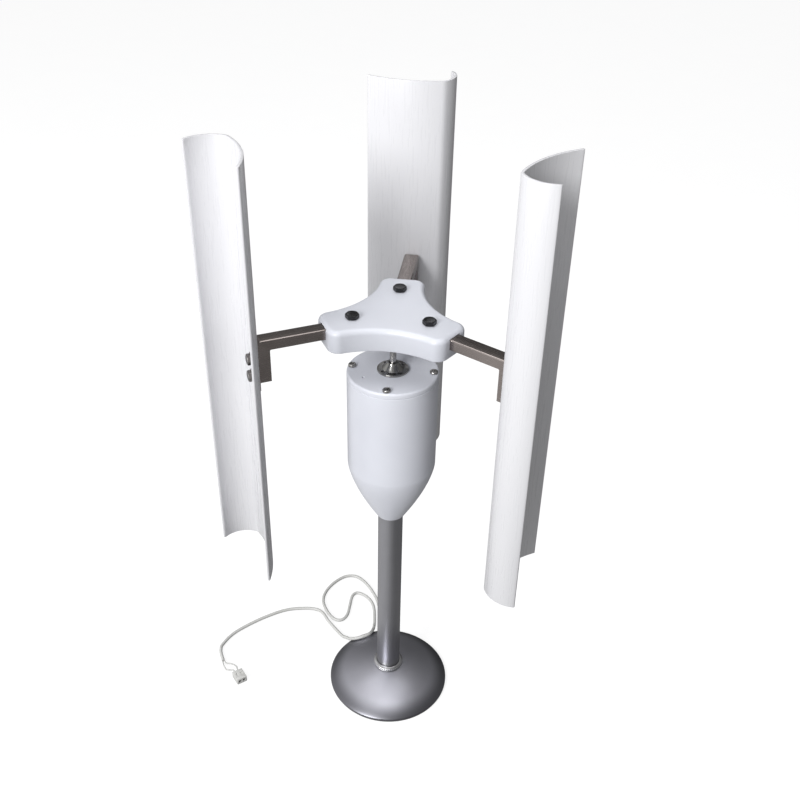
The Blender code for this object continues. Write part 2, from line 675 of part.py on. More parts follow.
def build_shaft_bush(parent, steel, black):
    """The flanged bush that joins the shaft to the hub, and its grub screw."""
    inner = SHAFT_RADIUS + 0.0002
    flange_top = HUB_BOTTOM - FIT_GAP
    stations = [
        (inner, flange_top - 0.010),
        (0.0072, flange_top - 0.010),
        (0.0072, flange_top - 0.002),
        (0.0125, flange_top - 0.002),
        (0.0125, flange_top),
        (HUB_BORE - FIT_GAP, flange_top),
        (HUB_BORE - FIT_GAP, HUB_BORE_TOP - 0.001),
        (inner, HUB_BORE_TOP - 0.001),
    ]
    bush = new_object("shaft_bush", turned("shaft_bush", stations, steel, 20, ring=True), parent)
    height = flange_top - 0.006
    hole = turned("hole", [(0.0018, 0.0), (0.0018, 0.006)], steel, 10)
    place = turn(math.radians(30)) @ outward(0.002, height)
    boolean(bush, helper("grub_hole", hole, place))
    grub = [(0.0008, 0.0), (0.0015, 0.0007), (0.0015, 0.0042), (0.0008, 0.0042), (0.0008, 0.0030)]
    screw = turned("grub_screw", grub, black, 12)
    new_object("grub_screw", screw, parent, turn(math.radians(30)) @ outward(0.0033, height))


def hex_bolt(name, across_flats, head, radius, under_head, tip, metal, flange=None):
    """A hexagon-head bolt along Z, with its head up, and with a round flange if one is given."""
    flats = hexagon(across_flats)
    top = under_head + head
    chamfer = across_flats * 0.48
    stations = [
        (radius * 0.75, tip),
        (radius, tip + 0.25 * radius),
        (radius, under_head),
    ]
    if flange:
        stations += [(flange, under_head), (flange, under_head + 0.0008)]
        stations.append((flats, under_head + 0.0015))
    else:
        stations.append((flats, under_head))
    stations += [(flats, top - 0.0008), (chamfer, top)]
    return turned(name, stations, metal, 12)


def hex_nut(name, across_flats, bolt_radius, bottom, top, metal):
    flats = hexagon(across_flats)
    bore = bolt_radius + 0.00025
    chamfer = across_flats * 0.485
    stations = [
        (bore, bottom),
        (chamfer, bottom),
        (flats, bottom + 0.0007),
        (flats, top - 0.0007),
        (chamfer, top),
        (bore, top),
    ]
    return turned(name, stations, metal, 12, ring=True)


def strip_outline(inset, face, top, start, end):
    """A folded strip seen from its side: out along the arm, round the bend, and down."""
    bend = max(ARM_BEND - inset, 0.0006)
    corner = (face - inset - bend, top - inset - bend)
    outer = [Vector((start, top - inset))]
    outer += arc_points(corner, bend, math.pi / 2, 0.0, 6)
    outer.append(Vector((face - inset, end)))
    return outer


def build_arms(parent, steel):
    """One folded channel per blade: open below along the arm, open to the hub down the leg."""
    outer = strip_outline(0.0, ARM_FACE, ARM_TOP, ARM_START, LEG_END)
    plate = strip_outline(ARM_SHEET, ARM_FACE, ARM_TOP, ARM_START, LEG_END)
    inner_face = ARM_FACE - LEG_DEPTH
    floor = ARM_TOP - ARM_DEPTH
    wall_side = [
        Vector((ARM_FACE - ARM_SHEET, LEG_END)),
        Vector((ARM_FACE - ARM_SHEET, LEG_WALL_END)),
        Vector((inner_face, LEG_WALL_END)),
        Vector((inner_face, floor - ARM_NOTCH)),
        Vector((inner_face - ARM_NOTCH, floor)),
        Vector((ARM_START, floor)),
    ]
    stand_up = Matrix.Rotation(math.pi / 2, 4, "X")
    half = ARM_WIDTH / 2
    channel = extruded("arm", outer + wall_side, -half, half, steel)
    arm = helper("arm_blank", channel, stand_up)
    inside = half - ARM_SHEET
    hollow_outline = plate[:-1]
    hollow_outline.append(Vector((ARM_FACE - ARM_SHEET, LEG_END - 0.002)))
    hollow_outline += [
        Vector((inner_face - 0.02, LEG_END - 0.002)),
        Vector((inner_face - 0.02, floor - 0.004)),
        Vector((ARM_START - 0.002, floor - 0.004)),
        Vector((ARM_START - 0.002, ARM_TOP - ARM_SHEET)),
    ]
    hollow = extruded("hollow", hollow_outline[1:], -inside, inside, steel)
    boolean(arm, helper("arm_hollow", hollow, stand_up))
    clearance = HUB_BOLT_RADIUS + 0.0003
    bolt_hole = turned("hole", [(clearance, floor - 0.002), (clearance, ARM_TOP + 0.002)], steel, 12)
    boolean(arm, helper("arm_bolt_hole", bolt_hole, shift(HUB_BOLT_RING, 0, 0)))
    blade_hole = turned("hole", [(BLADE_HOLE, -0.004), (BLADE_HOLE, 0.004)], steel, 12)
    for number, height in enumerate(BLADE_BOLT_HEIGHTS):
        boolean(arm, helper(f"leg_hole_{number}", blade_hole, outward(ARM_FACE, height)))
    polar_copies("arm", frozen(arm, "arm"), parent, BLADE_COUNT, ARM_TURN, stand_up)


def chained_arcs(start, heading, arcs, step_length=0.0045):
    """A line of arcs that run smoothly into each other, each one turning left."""
    points = [Vector(start)]
    headings = [heading]
    for radius, sweep in arcs:
        steps = max(4, round(radius * math.radians(sweep) / step_length))
        for _ in range(steps):
            turned_by = math.radians(sweep) / steps
            chord = 2 * radius * math.sin(turned_by / 2)
            middle = headings[-1] + turned_by / 2
            points.append(points[-1] + chord * Vector((math.cos(middle), math.sin(middle))))
            headings.append(headings[-1] + turned_by)
    return points, headings


def blade_outline():
    """The J section of a blade, as a sheet of even thickness."""
    line, headings = chained_arcs(BLADE_EDGE, math.radians(BLADE_HEADING), BLADE_ARCS)
    left = []
    right = []
    for point, heading in zip(line, headings):
        normal = Vector((-math.sin(heading), math.cos(heading))) * BLADE_WALL / 2
        left.append(point + normal)
        right.append(point - normal)
    return left + right[::-1]


def build_blades(parent, plastic, steel):
    top = BLADE_BOTTOM + BLADE_LENGTH
    blade = helper("blade_blank", extruded("blade", blade_outline(), BLADE_BOTTOM, top, plastic, 45))
    hole = turned("hole", [(BLADE_HOLE, 0.0), (BLADE_HOLE, 0.008)], plastic, 12)
    for number, height in enumerate(BLADE_BOLT_HEIGHTS):
        boolean(blade, helper(f"blade_hole_{number}", hole, outward(ARM_FACE - 0.002, height)))
    polar_copies("blade", frozen(blade, "blade", 45), parent, BLADE_COUNT, ARM_TURN)
    head_face = ARM_FACE + BLADE_WALL + 0.0008
    flange = BLADE_BOLT_FLANGE
    bolt = hex_bolt("blade_bolt", 0.009, 0.0045, BLADE_BOLT_RADIUS, 0.0, -0.0115, steel, flange)
    nut = hex_nut("blade_nut", 0.008, BLADE_BOLT_RADIUS, -0.004, 0.0, steel)
    nut_face = ARM_FACE - ARM_SHEET - FIT_GAP
    for row, height in (("upper", BLADE_BOLT_HEIGHTS[0]), ("lower", BLADE_BOLT_HEIGHTS[1])):
        polar_copies(f"{row}_blade_bolt", bolt, parent, BLADE_COUNT, ARM_TURN, outward(head_face, height))
        polar_copies(f"{row}_blade_nut", nut, parent, BLADE_COUNT, ARM_TURN, outward(nut_face, height))


# ---------------------------------------------------------------- cable


def smooth_path(points, steps):
    """A Catmull-Rom curve through the points."""
    path = []
    ends = [points[0] * 2 - points[1]] + list(points) + [points[-1] * 2 - points[-2]]
    for a, b, c, d in zip(ends, ends[1:], ends[2:], ends[3:]):
        square = 2 * a - 5 * b + 4 * c - d
        cube = 3 * b - a - 3 * c + d
        for step in range(steps):
            t = step / steps
            path.append(0.5 * (2 * b + (c - a) * t + square * t**2 + cube * t**3))
    path.append(points[-1])
    return path


def cord(name, path, radius, material, parent):
    """A round cord along a path, with flat ends."""
    curve = bpy.data.curves.new(name, "CURVE")
    curve.dimensions = "3D"
    curve.bevel_depth = radius
    curve.bevel_resolution = 1
    curve.use_fill_caps = True
    spline = curve.splines.new("POLY")
    spline.points.add(len(path) - 1)
    for knot, point in zip(spline.points, path):
        knot.co = (*point, 1.0)
    curve.materials.append(material)
    new_object(name, curve, parent)


def resting_height(reach):
    """The height of the cable's middle where it lies on the base or on the ground."""
    highest = CABLE_FLOOR
    for step in range(-8, 9):
        offset = CABLE_RADIUS * step / 8
        if reach + offset <= BASE_RADIUS:
            lift = math.sqrt(CABLE_RADIUS**2 - offset**2)
            highest = max(highest, base_height(abs(reach + offset)) + lift)
    clear = max(0.0, reach - BASE_RADIUS)
    rim = base_height(BASE_RADIUS) + CABLE_RADIUS
    return max(highest, rim * math.exp(-((clear / 0.012) ** 2))) + 3 * FIT_GAP


def cable_path():
    """Down the tube, out under the base's edge, and round two loops to the plug."""
    down = [
        (0.0226, 0.0095, 0.3235),
        (0.0226, 0.0095, 0.3080),
        (0.0173, 0.0073, 0.2960),
        (0.0067, 0.0028, 0.2830),
        (0.0010, 0.0004, 0.2640),
        (0.0, 0.0, 0.2400),
        (0.0, 0.0, 0.1500),
        (0.0, 0.0, 0.0600),
        (0.0, 0.0, 0.0120),
        (0.0, 0.0002, 0.0080),
        (0.0, 0.0012, 0.0053),
        (-0.0001, 0.0040, 0.0037),
        (-0.0003, 0.0095, 0.0034),
        (-0.0014, 0.0420, 0.0034),
        (-0.0017, 0.0480, 0.0037),
        (-0.0020, 0.0560, 0.0045),
        (-0.0022, 0.0620, 0.0046),
        (-0.0025, 0.0700, 0.0045),
    ]
    ground = smooth_path([Vector((x, y, 0.0)) for x, y in CABLE_GROUND], 3)
    for point in ground:
        point.z = resting_height(math.hypot(point.x, point.y))
    first = len(ground) // 10
    for number in range(first):
        ground[number].z = CABLE_FLOOR + FIT_GAP
    return smooth_path([Vector(point) for point in down], 3)[:-1] + ground


def build_cable(parent, white, rubber):
    """The output cable, its grommet, its two bared leads and their plug."""
    cord("output_cable", cable_path(), CABLE_RADIUS, white, parent)
    grommet = tube("cable_grommet", GROMMET_BORE, GROMMET_OUTER, 0.0, 0.005, rubber, 16)
    lying = turn(EXIT_TURN) @ outward(BASE_RADIUS - 0.004, EXIT_HEIGHT)
    new_object("cable_grommet", grommet, parent, lying)
    build_plug(parent, white)


def build_plug(parent, white):
    """A two-way plug, with a socket for each of its two leads."""
    place = shift(*PLUG_BACK) @ turn(PLUG_TURN)
    body = box(
        "cable_plug",
        (0, -PLUG_WIDTH / 2, -PLUG_HEIGHT / 2),
        (PLUG_LENGTH, PLUG_WIDTH / 2, PLUG_HEIGHT / 2),
        white,
    )
    plug = new_object("cable_plug", body, parent, place)
    entry = turned("entry", [(LEAD_RADIUS + 0.0004, -0.002), (LEAD_RADIUS + 0.0004, 0.004)], white, 10)
    socket = box("socket", (0.007, -0.0016, -0.002), (PLUG_LENGTH + 0.002, 0.0016, 0.002), white)
    for number, side in enumerate((1, -1)):
        offset = side * PLUG_PITCH / 2
        lying = place @ shift(0, offset, 0)
        boolean(plug, helper(f"lead_entry_{number}", entry, lying @ outward(0, 0)))
        boolean(plug, helper(f"plug_socket_{number}", socket, lying))
        points = [Vector((x, y, CABLE_FLOOR + FIT_GAP)) for x, y in LEAD_STARTS[number]]
        points += [place @ Vector((along, offset, 0)) for along in (-0.005, -0.001, 0.003)]
        cord(f"cable_lead_{number + 1}", smooth_path(points, 3), LEAD_RADIUS, white, parent)


def main():
    clear_scene()
    stand = bpy.data.objects.new("stand_frame", None)
    rotor = bpy.data.objects.new("rotor_axis", None)
    for empty in (stand, rotor):
        bpy.context.scene.collection.objects.link(empty)
    white = finish("white_plastic", (0.86, 0.86, 0.90), 0.32)
    sheet = finish("white_sheet", (0.88, 0.88, 0.90), 0.26)
    jacket = finish("white_jacket", (0.86, 0.86, 0.84), 0.42)
    satin = finish("satin_steel", (0.46, 0.46, 0.48), 0.34, 1.0)
    chrome = finish("polished_steel", (0.72, 0.72, 0.72), 0.12, 1.0)
    steel = finish("bright_steel", (0.52, 0.51, 0.50), 0.28, 1.0)
    black = finish("black_oxide_steel", (0.03, 0.03, 0.035), 0.38, 0.8)
    brass = finish("brass", (0.72, 0.55, 0.26), 0.3, 1.0)
    rubber = finish("black_rubber", (0.03, 0.03, 0.03), 0.8)
    aluminium = finish("cast_aluminium", (0.6, 0.6, 0.62), 0.45, 1.0)
    lamination = finish("lamination_steel", (0.2, 0.2, 0.22), 0.5, 1.0)
    copper = finish("enamelled_copper", (0.6, 0.24, 0.1), 0.3, 1.0)
    magnet = finish("ferrite_magnet", (0.09, 0.09, 0.1), 0.6)
    build_base(stand, satin)
    build_weight(stand, lamination, rubber)
    build_tube(stand, satin, chrome, brass)
    build_housing(stand, white)
    build_cover(stand, white, steel)
    build_flange(stand, chrome)
    build_bearings(stand, rotor, chrome)
    build_bracket(stand, aluminium)
    build_stator(stand, lamination, copper)
    build_generator_rotor(rotor, steel, magnet)
    build_hub(rotor, white, steel, black)
    build_arms(rotor, chrome)
    build_blades(rotor, sheet, steel)
    build_cable(stand, jacket, rubber)


main()
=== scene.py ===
"""The looks of a small vertical axis wind turbine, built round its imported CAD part.

Shapes are in millimetres and are scaled to metres as each mesh is made. The frame is the
part's own: +Z up along the rotor's axis, with the origin under the middle of the base.
"""

import math

import bmesh
import bpy
from mathutils import Matrix, Vector


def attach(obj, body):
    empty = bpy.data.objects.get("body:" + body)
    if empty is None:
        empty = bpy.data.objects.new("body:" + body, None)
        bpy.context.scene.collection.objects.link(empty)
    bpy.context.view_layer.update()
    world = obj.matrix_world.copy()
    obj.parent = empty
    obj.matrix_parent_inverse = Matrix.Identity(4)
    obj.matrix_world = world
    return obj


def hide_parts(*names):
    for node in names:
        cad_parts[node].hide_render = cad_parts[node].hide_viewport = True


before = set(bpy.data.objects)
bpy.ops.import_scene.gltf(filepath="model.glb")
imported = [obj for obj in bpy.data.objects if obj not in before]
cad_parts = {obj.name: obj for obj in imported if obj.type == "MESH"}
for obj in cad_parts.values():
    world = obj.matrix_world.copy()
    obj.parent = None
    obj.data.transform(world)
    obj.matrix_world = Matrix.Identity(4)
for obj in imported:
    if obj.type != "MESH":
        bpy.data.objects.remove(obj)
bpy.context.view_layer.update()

MM = 0.001
GAP = 0.3
LAY = "lay"
STAND, ROTOR = "stand", "rotor"

# Stand
BASE_RADIUS, BASE_LIP, BASE_CROWN, BASE_WALL = 65.5, 1.6, 26.2, 2.0
BASE_LIP_HEIGHT, BASE_BORE = 3.0, 5.3
BASE_CROWN_POWER, BASE_RISE_POWER = 1.75, 0.85
# Painted shade: between these radii the base's colour darkens to this share, for the darker reflection
# and shading at its steep rim.
PAINTED_RIM_SHADE_START, PAINTED_RIM_SHADE_END, PAINTED_RIM_SHADE = 48.0, 63.5, 0.36
FOOT_RADIUS, FOOT_HEIGHT = 64.5, 1.2
BALLAST_RADIUS, BALLAST_BOTTOM, BALLAST_TOP = 41.0, 9.0, 14.5
TUBE_RADIUS, TUBE_WALL, TUBE_BOTTOM, TUBE_TOP = 12.5, 1.5, 25.8, 262.0
COLLAR_BORE, COLLAR_RADIUS, COLLAR_BOTTOM, COLLAR_TOP = 12.8, 16.3, 25.6, 29.8
COLLAR_BEADS, BEAD_DEPTH, SIDES_PER_BEAD = 44, 0.7, 8
EXIT_HEIGHT, EXIT_TURN = 4.6, math.radians(92)

# Housing
HOUSING_RADIUS, HOUSING_WALL, HOUSING_TOP = 42.5, 2.5, 407.0
NOSE_CENTRE, NOSE_HEIGHT, NOSE_POWER, SOCKET_TOP = 310.0, 88.0, 1.4, 275.0
COVER_TOP = 412.5
COVER_TURN, SCREW_RING = math.radians(-8), 37.7
SCREW_HEAD, SCREW_HEIGHT, SCREW_SHANK, SCREW_TIP = 3.8, 2.5, 1.5, 393.0
BOSS_RADIUS, BOSS_BOTTOM, BOSS_BORE = 3.4, 386.0, 1.9
BEARING_OUTER, BEARING_SEAT, BEARING_TOP = 9.5, 393.8, 401.3
VENT_TURN, VENT_RING = math.radians(216), 30.0
FLANGE_BORE, FLANGE_RADIUS, FLANGE_THICK, FLANGE_HEIGHT = 3.6, 14.6, 1.8, 8.2
FLANGE_HOLE_TURN, FLANGE_HOLE_RING = math.radians(37), 11.3

# Rotor
BLADE_COUNT = 3
ARM_TURN = math.radians(82.3)
HUB_TOP, HUB_BOTTOM = 473.5, 452.5
HUB_REACH, HUB_WAIST, HUB_WAIST_ARC, HUB_CORNER = 66.0, 37.0, 80.0, 10.5
HUB_BORE, HUB_BORE_TOP = 6.4, 467.5
HUB_BOLT_RING, HUB_BOLT_TURN = 39.0, math.radians(7.7)
HUB_BOLT_FLATS, HUB_BOLT_HEAD, HUB_BOLT_RADIUS, HUB_BOLT_TIP = 11.0, 4.2, 3.0, 444.5
HUB_NUT_FLATS, HUB_NUT_HEIGHT, BOLT_HOLE = 10.0, 5.0, 3.3
SHAFT_RADIUS, SHAFT_BOTTOM, SHAFT_TOP = 3.0, 300.0, 466.5
BUSH_RADIUS, BUSH_FLANGE, BUSH_SPIGOT, BUSH_BORE, BUSH_LENGTH = 7.2, 12.5, 6.1, 3.2, 10.0
ARM_TOP, ARM_DEPTH, ARM_WIDTH, ARM_SHEET = 470.5, 9.5, 14.0, 1.5
ARM_START, ARM_FACE, ARM_BEND = 23.0, 127.1, 4.5
LEG_DEPTH, LEG_WALL_END, LEG_END = 11.5, 430.0, 422.0
BLADE_BOTTOM, BLADE_TOP, BLADE_WALL = 238.0, 638.0, 2.5
BLADE_BOLT_HEIGHTS = (("upper", 451.5), ("lower", 435.0))
BLADE_BOLT_FLATS, BLADE_BOLT_HEAD, BLADE_BOLT_RADIUS, BLADE_BOLT_LENGTH = 9.0, 4.5, 2.5, 11.5
BLADE_BOLT_FLANGE, BLADE_NUT_FLATS, BLADE_NUT_HEIGHT, BLADE_HOLE = 6.2, 8.0, 4.0, 2.8
BLADE_EDGE, BLADE_HEADING = (140.9, 46.4), -119.4
BLADE_ARCS = ((95.0, 43.2), (7.0, 35.0), (26.0, 78.0))

# Cable
CABLE_RADIUS, CABLE_FLOOR, LEAD_RADIUS = 2.0, 2.4, 0.8
# The shown cord is this much thinner all round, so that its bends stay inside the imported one.
CABLE_INSET = 0.2
GROMMET_BORE, GROMMET_OUTER, GROMMET_LENGTH = 2.3, 3.1, 5.0
CABLE_DOWN = (
    (22.6, 9.5, 323.5), (22.6, 9.5, 308.0), (17.3, 7.3, 296.0), (6.7, 2.8, 283.0),
    (1.0, 0.4, 264.0), (0.0, 0.0, 240.0), (0.0, 0.0, 150.0), (0.0, 0.0, 60.0),
    (0.0, 0.0, 12.0), (0.0, 0.2, 8.0), (0.0, 1.2, 5.3), (-0.1, 4.0, 3.7),
    (-0.3, 9.5, 3.4), (-1.4, 42.0, 3.4), (-1.7, 48.0, 3.7), (-2.0, 56.0, 4.5),
    (-2.2, 62.0, 4.6), (-2.5, 70.0, 4.5),
)
CABLE_GROUND = (
    (-4.0, 80.0), (-8.5, 93.0), (-12.0, 105.0), (-17.0, 123.0), (-29.0, 145.0),
    (-42.0, 157.5), (-56.0, 157.5), (-69.0, 147.0), (-79.0, 131.0), (-82.0, 114.0),
    (-76.0, 96.0), (-66.5, 83.5), (-57.5, 82.0), (-51.0, 91.0), (-48.5, 107.0),
    (-46.0, 123.0), (-39.5, 128.5), (-27.5, 121.5), (-19.5, 107.0), (-17.5, 84.6),
    (-18.5, 64.0), (-23.5, 49.0), (-39.0, 44.0), (-53.0, 54.0), (-64.0, 67.0),
    (-74.0, 81.0), (-81.0, 93.0), (-89.0, 98.5), (-103.6, 100.0), (-128.0, 96.0),
    (-157.0, 80.0), (-184.0, 58.0), (-196.0, 39.0), (-197.0, 31.0), (-195.5, 24.0),
    (-191.5, 14.0),
)
LEAD_STARTS = (
    ((-190.4, 13.9), (-187.5, 10.8), (-181.5, 9.8), (-175.5, 6.5)),
    ((-192.3, 13.2), (-189.7, 6.5), (-185.6, 1.0)),
)
PLUG_BACK, PLUG_TURN = (-173.0, -4.0, 4.6), math.radians(-57)
PLUG_LENGTH, PLUG_WIDTH, PLUG_HEIGHT, PLUG_PITCH = 14.0, 12.0, 8.0, 5.0

# Studio, in metres
FLOOR_RADIUS = 20.0
LIGHT_TARGET = (0.0, 0.0, 0.35)
LIGHTS = (
    ("key_light", (-1.72, -2.62, 2.07), 1.35, 101.0),
    ("top_light", (-0.1, -0.1, 2.0), 1.7, 13.0),
)
CAMERA_PLACE, CAMERA_DOWN, CAMERA_TURN = (0.0, -0.765, 0.8836), 33.70, 1.66
CAMERA_LENS, CAMERA_SENSOR, CAMERA_SHIFT = 44.15, 36.0, (0.0392, 0.0061)
ROOM_RIGHT, ROOM_LEFT, ROOM_BEHIND = 0.22, 0.74, 0.30


# ---------------------------------------------------------------- shape tools


def turn(angle):
    return Matrix.Rotation(angle, 4, "Z")


def shift(x, y, z):
    return Matrix.Translation((x * MM, y * MM, z * MM))


def outward(radius, height):
    """Lays a piece's own Z axis along +X, at a distance from the axis and a height."""
    return shift(radius, 0, height) @ Matrix.Rotation(math.pi / 2, 4, "Y")


def direction(heading):
    return Vector((math.cos(heading), math.sin(heading)))


def arm_angle(number):
    return ARM_TURN + 2 * math.pi * number / BLADE_COUNT


def rounded(corners, closed=True, steps=4):
    """A line through (x, y, fillet radius) corners, with each corner rounded."""
    points = []
    last = len(corners) - 1
    for number, (x, y, fillet) in enumerate(corners):
        here = Vector((x, y))
        if not fillet or (not closed and number in (0, last)):
            points.append(here)
            continue
        before = (Vector(corners[number - 1][:2]) - here).normalized()
        after = (Vector(corners[(number + 1) % len(corners)][:2]) - here).normalized()
        half = before.angle(after) / 2
        centre = here + (before + after).normalized() * fillet / math.sin(half)
        first = here + before * fillet / math.tan(half) - centre
        final = here + after * fillet / math.tan(half) - centre
        start = math.atan2(first.y, first.x)
        sweep = (math.atan2(final.y, final.x) - start + math.pi) % (2 * math.pi) - math.pi
        for step in range(steps + 1):
            angle = start + sweep * step / steps
            points.append(centre + fillet * direction(angle))
    return points


def arc(centre, radius, start, end, steps):
    angles = [start + (end - start) * step / steps for step in range(steps + 1)]
    return [Vector(centre) + radius * direction(angle) for angle in angles]


def hexagon(flats, within=math.inf):
    """The radius of a hexagon at each angle, cut off at a largest radius."""

    def radius(angle):
        reach = flats / 2 / math.cos((angle + math.pi / 6) % (math.pi / 3) - math.pi / 6)
        return min(reach, within)

    return radius


def mesh_of(name, bm, angle=35.0):
    bmesh.ops.recalc_face_normals(bm, faces=bm.faces)
    bmesh.ops.scale(bm, vec=(MM, MM, MM), verts=bm.verts)
    mesh = bpy.data.meshes.new(name)
    bm.to_mesh(mesh)
    bm.free()
    return shaded(mesh, angle)


def shaded(mesh, angle=35.0):
    mesh.shade_smooth()
    mesh.set_sharp_from_angle(angle=math.radians(angle))
    return mesh


def skinned(name, bm, rows, ring=False, angle=35.0):
    """Faces from each row of points to the next, closed into a ring or at both ends."""
    pairs = list(zip(rows, rows[1:]))
    if ring:
        pairs.append((rows[-1], rows[0]))
    else:
        bm.faces.new(rows[0])
        bm.faces.new(rows[-1])
    for low, high in pairs:
        for step in range(len(low)):
            after = (step + 1) % len(low)
            bm.faces.new((low[step], low[after], high[after], high[step]))
    return mesh_of(name, bm, angle)


def loft(name, loops, ring=False):
    """A closed shape through (loop of points, height) pairs."""
    bm = bmesh.new()
    rows = [[bm.verts.new((x, y, height)) for x, y in loop] for loop, height in loops]
    return skinned(name, bm, rows, ring)


def turned(name, stations, sides=96, ring=False):
    """A closed shape through circles, one at each (radius, height) station."""
    loops = []
    for radius, height in stations:
        loop = []
        for step in range(sides):
            around = 2 * math.pi * step / sides
            reach = radius(around) if callable(radius) else radius
            loop.append((reach * math.cos(around), reach * math.sin(around)))
        loops.append((loop, height))
    return loft(name, loops, ring)


def raised(outline, bottom, top):
    bm = bmesh.new()
    face = bm.faces.new([bm.verts.new((x, y, bottom)) for x, y in outline])
    lifted = bmesh.ops.extrude_face_region(bm, geom=[face])["geom"]
    upper = [item for item in lifted if isinstance(item, bmesh.types.BMVert)]
    bmesh.ops.translate(bm, verts=upper, vec=(0, 0, top - bottom))
    return bm


def round_edges(bm, edges, width, segments):
    bmesh.ops.bevel(bm, geom=edges, offset=width, segments=segments, profile=0.5, affect="EDGES")


def extruded(name, outline, bottom, top, rims=(), angle=35.0):
    """A raised outline. rims lists (height, width, segments) of edges to round."""
    bm = raised(outline, bottom, top)
    for height, width, segments in rims:
        level = [edge for edge in bm.edges if all(abs(v.co.z - height) < 1e-4 for v in edge.verts)]
        round_edges(bm, level, width, segments)
    return mesh_of(name, bm, angle)


def rectangle(low, high):
    """The corners of a rectangle, from two opposite ones."""
    return [(low[0], low[1]), (high[0], low[1]), (high[0], high[1]), (low[0], high[1])]


def block(name, low, high, edge=0.0):
    corners = [(x, y, edge) for x, y in rectangle(low, high)]
    rims = ((low[2], 0.7 * edge, 2), (high[2], 0.7 * edge, 2)) if edge else ()
    return extruded(name, rounded(corners, steps=3), low[2], high[2], rims)


def cut(mesh, cutters, place=Matrix.Identity(4), operation="DIFFERENCE", angle=35.0):
    """A mesh with others taken from it, each given as (mesh, matrix)."""
    target = bpy.data.objects.new("target", mesh)
    target.matrix_world = place
    bpy.context.scene.collection.objects.link(target)
    helpers = []
    for number, (other, matrix) in enumerate(cutters):
        helper = bpy.data.objects.new(f"helper_{number}", other)
        helper.matrix_world = matrix
        bpy.context.scene.collection.objects.link(helper)
        helpers.append(helper)
        modifier = target.modifiers.new(f"cut_{number}", "BOOLEAN")
        modifier.operation = operation
        modifier.solver = "EXACT"
        modifier.object = helper
    bpy.context.view_layer.update()
    graph = bpy.context.evaluated_depsgraph_get()
    result = bpy.data.meshes.new_from_object(target.evaluated_get(graph))
    result.name = mesh.name
    for thing in [target, *helpers]:
        bpy.data.objects.remove(thing, do_unlink=True)
    return shaded(result, angle)


def piece(name, mesh, material, body, place=Matrix.Identity(4)):
    """Adds a shown piece that stands for the CAD node of the same name.

    Its mesh is put in place, and each vertex keeps where it was before that in the
    attribute LAY, which the materials' grain follows.
    """
    mesh = mesh.copy()
    mesh.name = f"{name}_look"
    lay = mesh.attributes.new(LAY, "FLOAT_VECTOR", "POINT")
    for vertex, kept in zip(mesh.vertices, lay.data):
        kept.vector = vertex.co
    mesh.transform(place)
    mesh.materials.clear()
    mesh.materials.append(material)
    obj = bpy.data.objects.new(f"{name}_look", mesh)
    bpy.context.scene.collection.objects.link(obj)
    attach(obj, body)
    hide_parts(name)


def sweep(name, path, section):
    """A cord along a path. section is a loop of (across, up) points."""
    bm = bmesh.new()
    rows = []
    up = Vector((0, 0, 1)) if abs((path[1] - path[0]).normalized().z) < 0.9 else Vector((0, 1, 0))
    for number, point in enumerate(path):
        before = path[max(number - 1, 0)]
        after = path[min(number + 1, len(path) - 1)]
        along = (after - before).normalized()
        up = (up - along * up.dot(along)).normalized()
        across = along.cross(up)
        rows.append([bm.verts.new(point + across * x + up * y) for x, y in section])
    return skinned(name, bm, rows, angle=50.0)


# ---------------------------------------------------------------- materials


